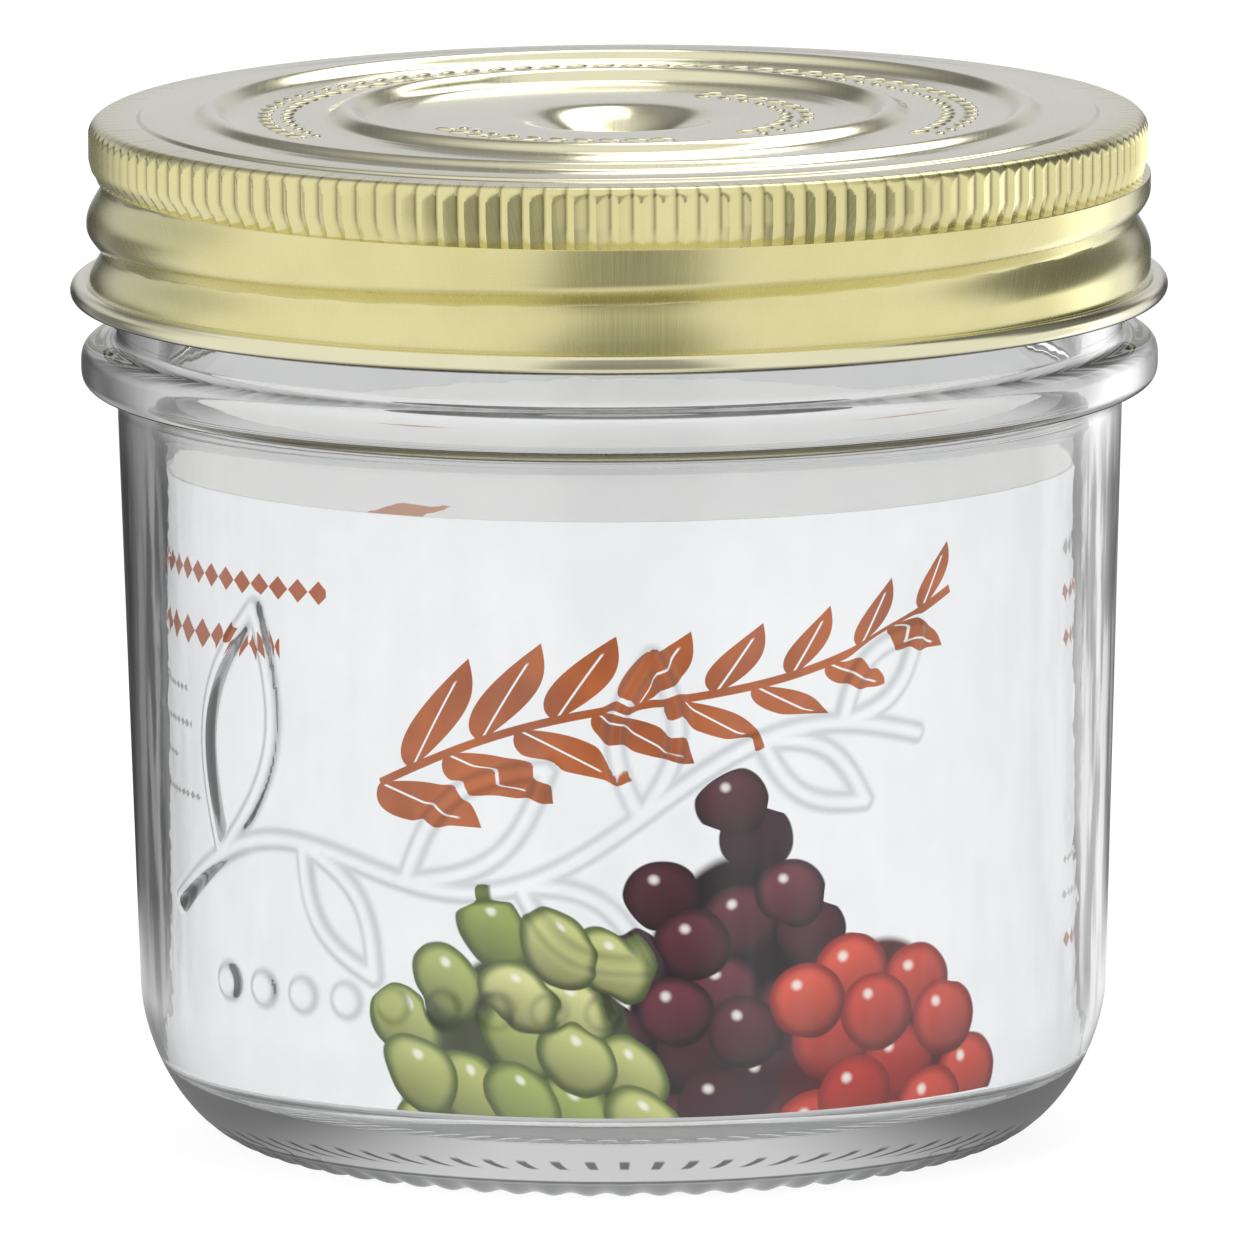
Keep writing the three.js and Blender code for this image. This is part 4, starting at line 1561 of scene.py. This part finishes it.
world = bpy.data.worlds.new("studio")
bpy.context.scene.world = world
world.use_nodes = True
world.node_tree.nodes.clear()
wire = Wiring(world.node_tree)
toward = wire.get("ShaderNodeTexCoord", None, "Generated")
sky = {"Color": WHITE, "Strength": seen_level(wire, toward, 1.0, DOME_LIGHT)}
sky = wire.get("ShaderNodeBackground", sky)
wire.feed(wire.add("ShaderNodeOutputWorld").inputs["Surface"], sky)
print("world:", len(world.node_tree.nodes), "nodes")

# %% [markdown]
# The floor is pale and keeps the jar's shadow. It adds a glow of its own to what is seen of it, so that it
# meets the white behind without a line. In metal and glass the far floor shows the same cards as the walls,
# and the floor close to the jar lies in its shade.

# %% The floor
FLOOR_SIZE = 6.0
FLOOR_GLOW = 0.6
FLOOR_GREY = screen(186, 186, 186)
FAR_FLOOR, SHADED_FLOOR = (0.09, 0.16), (0.12, 0.05)
SHADE_WIDTH, SHADE_LEVELS = (10 * MM, 40 * MM), (0.8, 0.2)

studio_floor, wire, surface = new_finish("studio_floor")
here = wire.get("ShaderNodeTexCoord", None, "Object")
distance = wire.length(here)
near_level = seen_level(wire, wire.join(z=1.0), FLOOR_GLOW, FLOOR_GLOW)
far_level = seen_level(wire, here, FLOOR_GLOW, FLOOR_GLOW)
seen = wire.blend(wire.ramp(distance, *FAR_FLOOR), near_level, far_level)
beside = wire.math("ABSOLUTE", wire.split(here)[0])
shade = wire.ramp(beside, *SHADE_WIDTH, *SHADE_LEVELS)
shade = wire.blend(wire.ramp(distance, *SHADED_FLOOR), 1.0, shade)
glow = wire.get("ShaderNodeEmission", {"Strength": FLOOR_GLOW})
mirrored_glow = wire.get("ShaderNodeEmission", {"Strength": seen * shade})
matt = wire.get("ShaderNodeBsdfDiffuse", {"Color": FLOOR_GREY})
direct = wire.get("ShaderNodeAddShader", {0: glow, 1: matt})
rays = wire.add("ShaderNodeLightPath").outputs
rays = [Term(wire, rays[ray]) for ray in ("Is Glossy Ray", "Is Transmission Ray")]
floor_look = {0: wire.math("MAXIMUM", *rays), 1: direct, 2: mirrored_glow}
wire.feed(surface, wire.get("ShaderNodeMixShader", floor_look))
floor_mesh = bmesh.new()
bmesh.ops.create_grid(floor_mesh, x_segments=1, y_segments=1, size=FLOOR_SIZE / 2)
floor_plane = as_object("floor", floor_mesh)
floor_plane.data.materials.append(studio_floor)
print("floor:", FLOOR_SIZE, "m wide")

# %% [markdown]
# Three soft lamps give the light a side: a large key from the left in front, a large and lower fill from
# the right, and a small one high behind, which is the only one that metal mirrors. They are modest, so that
# a colour renders about as it is written.

# %% Lamps
LAMP_AIM = Vector((0, 0, 0.05))


def soft_lamp(name, place, size, power, mirrored):
    """A square lamp that faces the jar, and that metal mirrors or not."""
    data = bpy.data.lights.new(name, "AREA")
    data.shape, data.size, data.energy = "SQUARE", size, power
    lamp = bpy.data.objects.new(name, data)
    lamp.location = place
    lamp.rotation_euler = (LAMP_AIM - Vector(place)).to_track_quat("-Z", "Y").to_euler()
    lamp.visible_glossy = mirrored
    bpy.context.scene.collection.objects.link(lamp)
    print(f"lamp {name}: {power} W")


soft_lamp("key", place=(-0.9, -1.3, 1.5), size=1.1, power=9.0, mirrored=False)
soft_lamp("fill", place=(1.3, -0.9, 0.8), size=1.2, power=5.0, mirrored=False)
soft_lamp("top", place=(0.2, 0.77, 0.9), size=0.5, power=1.4, mirrored=True)

# %% [markdown]
# The photograph was taken with a long lens from a little above the jar, so its sides hardly converge. The
# camera's place and lens come from fitting the outline of the jar. The picture is also turned by a third of
# a degree.

# %% Camera
PICTURE_WIDTH = 1238
FOCAL_PIXELS = 22602.8
SENSOR = 36.0
CAMERA_PLACE = Vector((0, -2.2, 0.4087))
CAMERA_AIM = Vector((-0.00021, 0, 0.05087))
CAMERA_ROLL = -0.0062
lens = bpy.data.cameras.new("camera")
lens.sensor_width = SENSOR
lens.lens = FOCAL_PIXELS * SENSOR / PICTURE_WIDTH
camera = bpy.data.objects.new("camera", lens)
aim = (CAMERA_AIM - CAMERA_PLACE).to_track_quat("-Z", "Y").to_matrix()
aim = aim @ Matrix.Rotation(CAMERA_ROLL, 3, "Z")
camera.matrix_world = Matrix.Translation(CAMERA_PLACE) @ aim.to_4x4()
bpy.context.scene.collection.objects.link(camera)
bpy.context.scene.camera = camera
bpy.context.scene.view_settings.view_transform = "Standard"
print(f"camera: {lens.lens:.0f} mm lens")
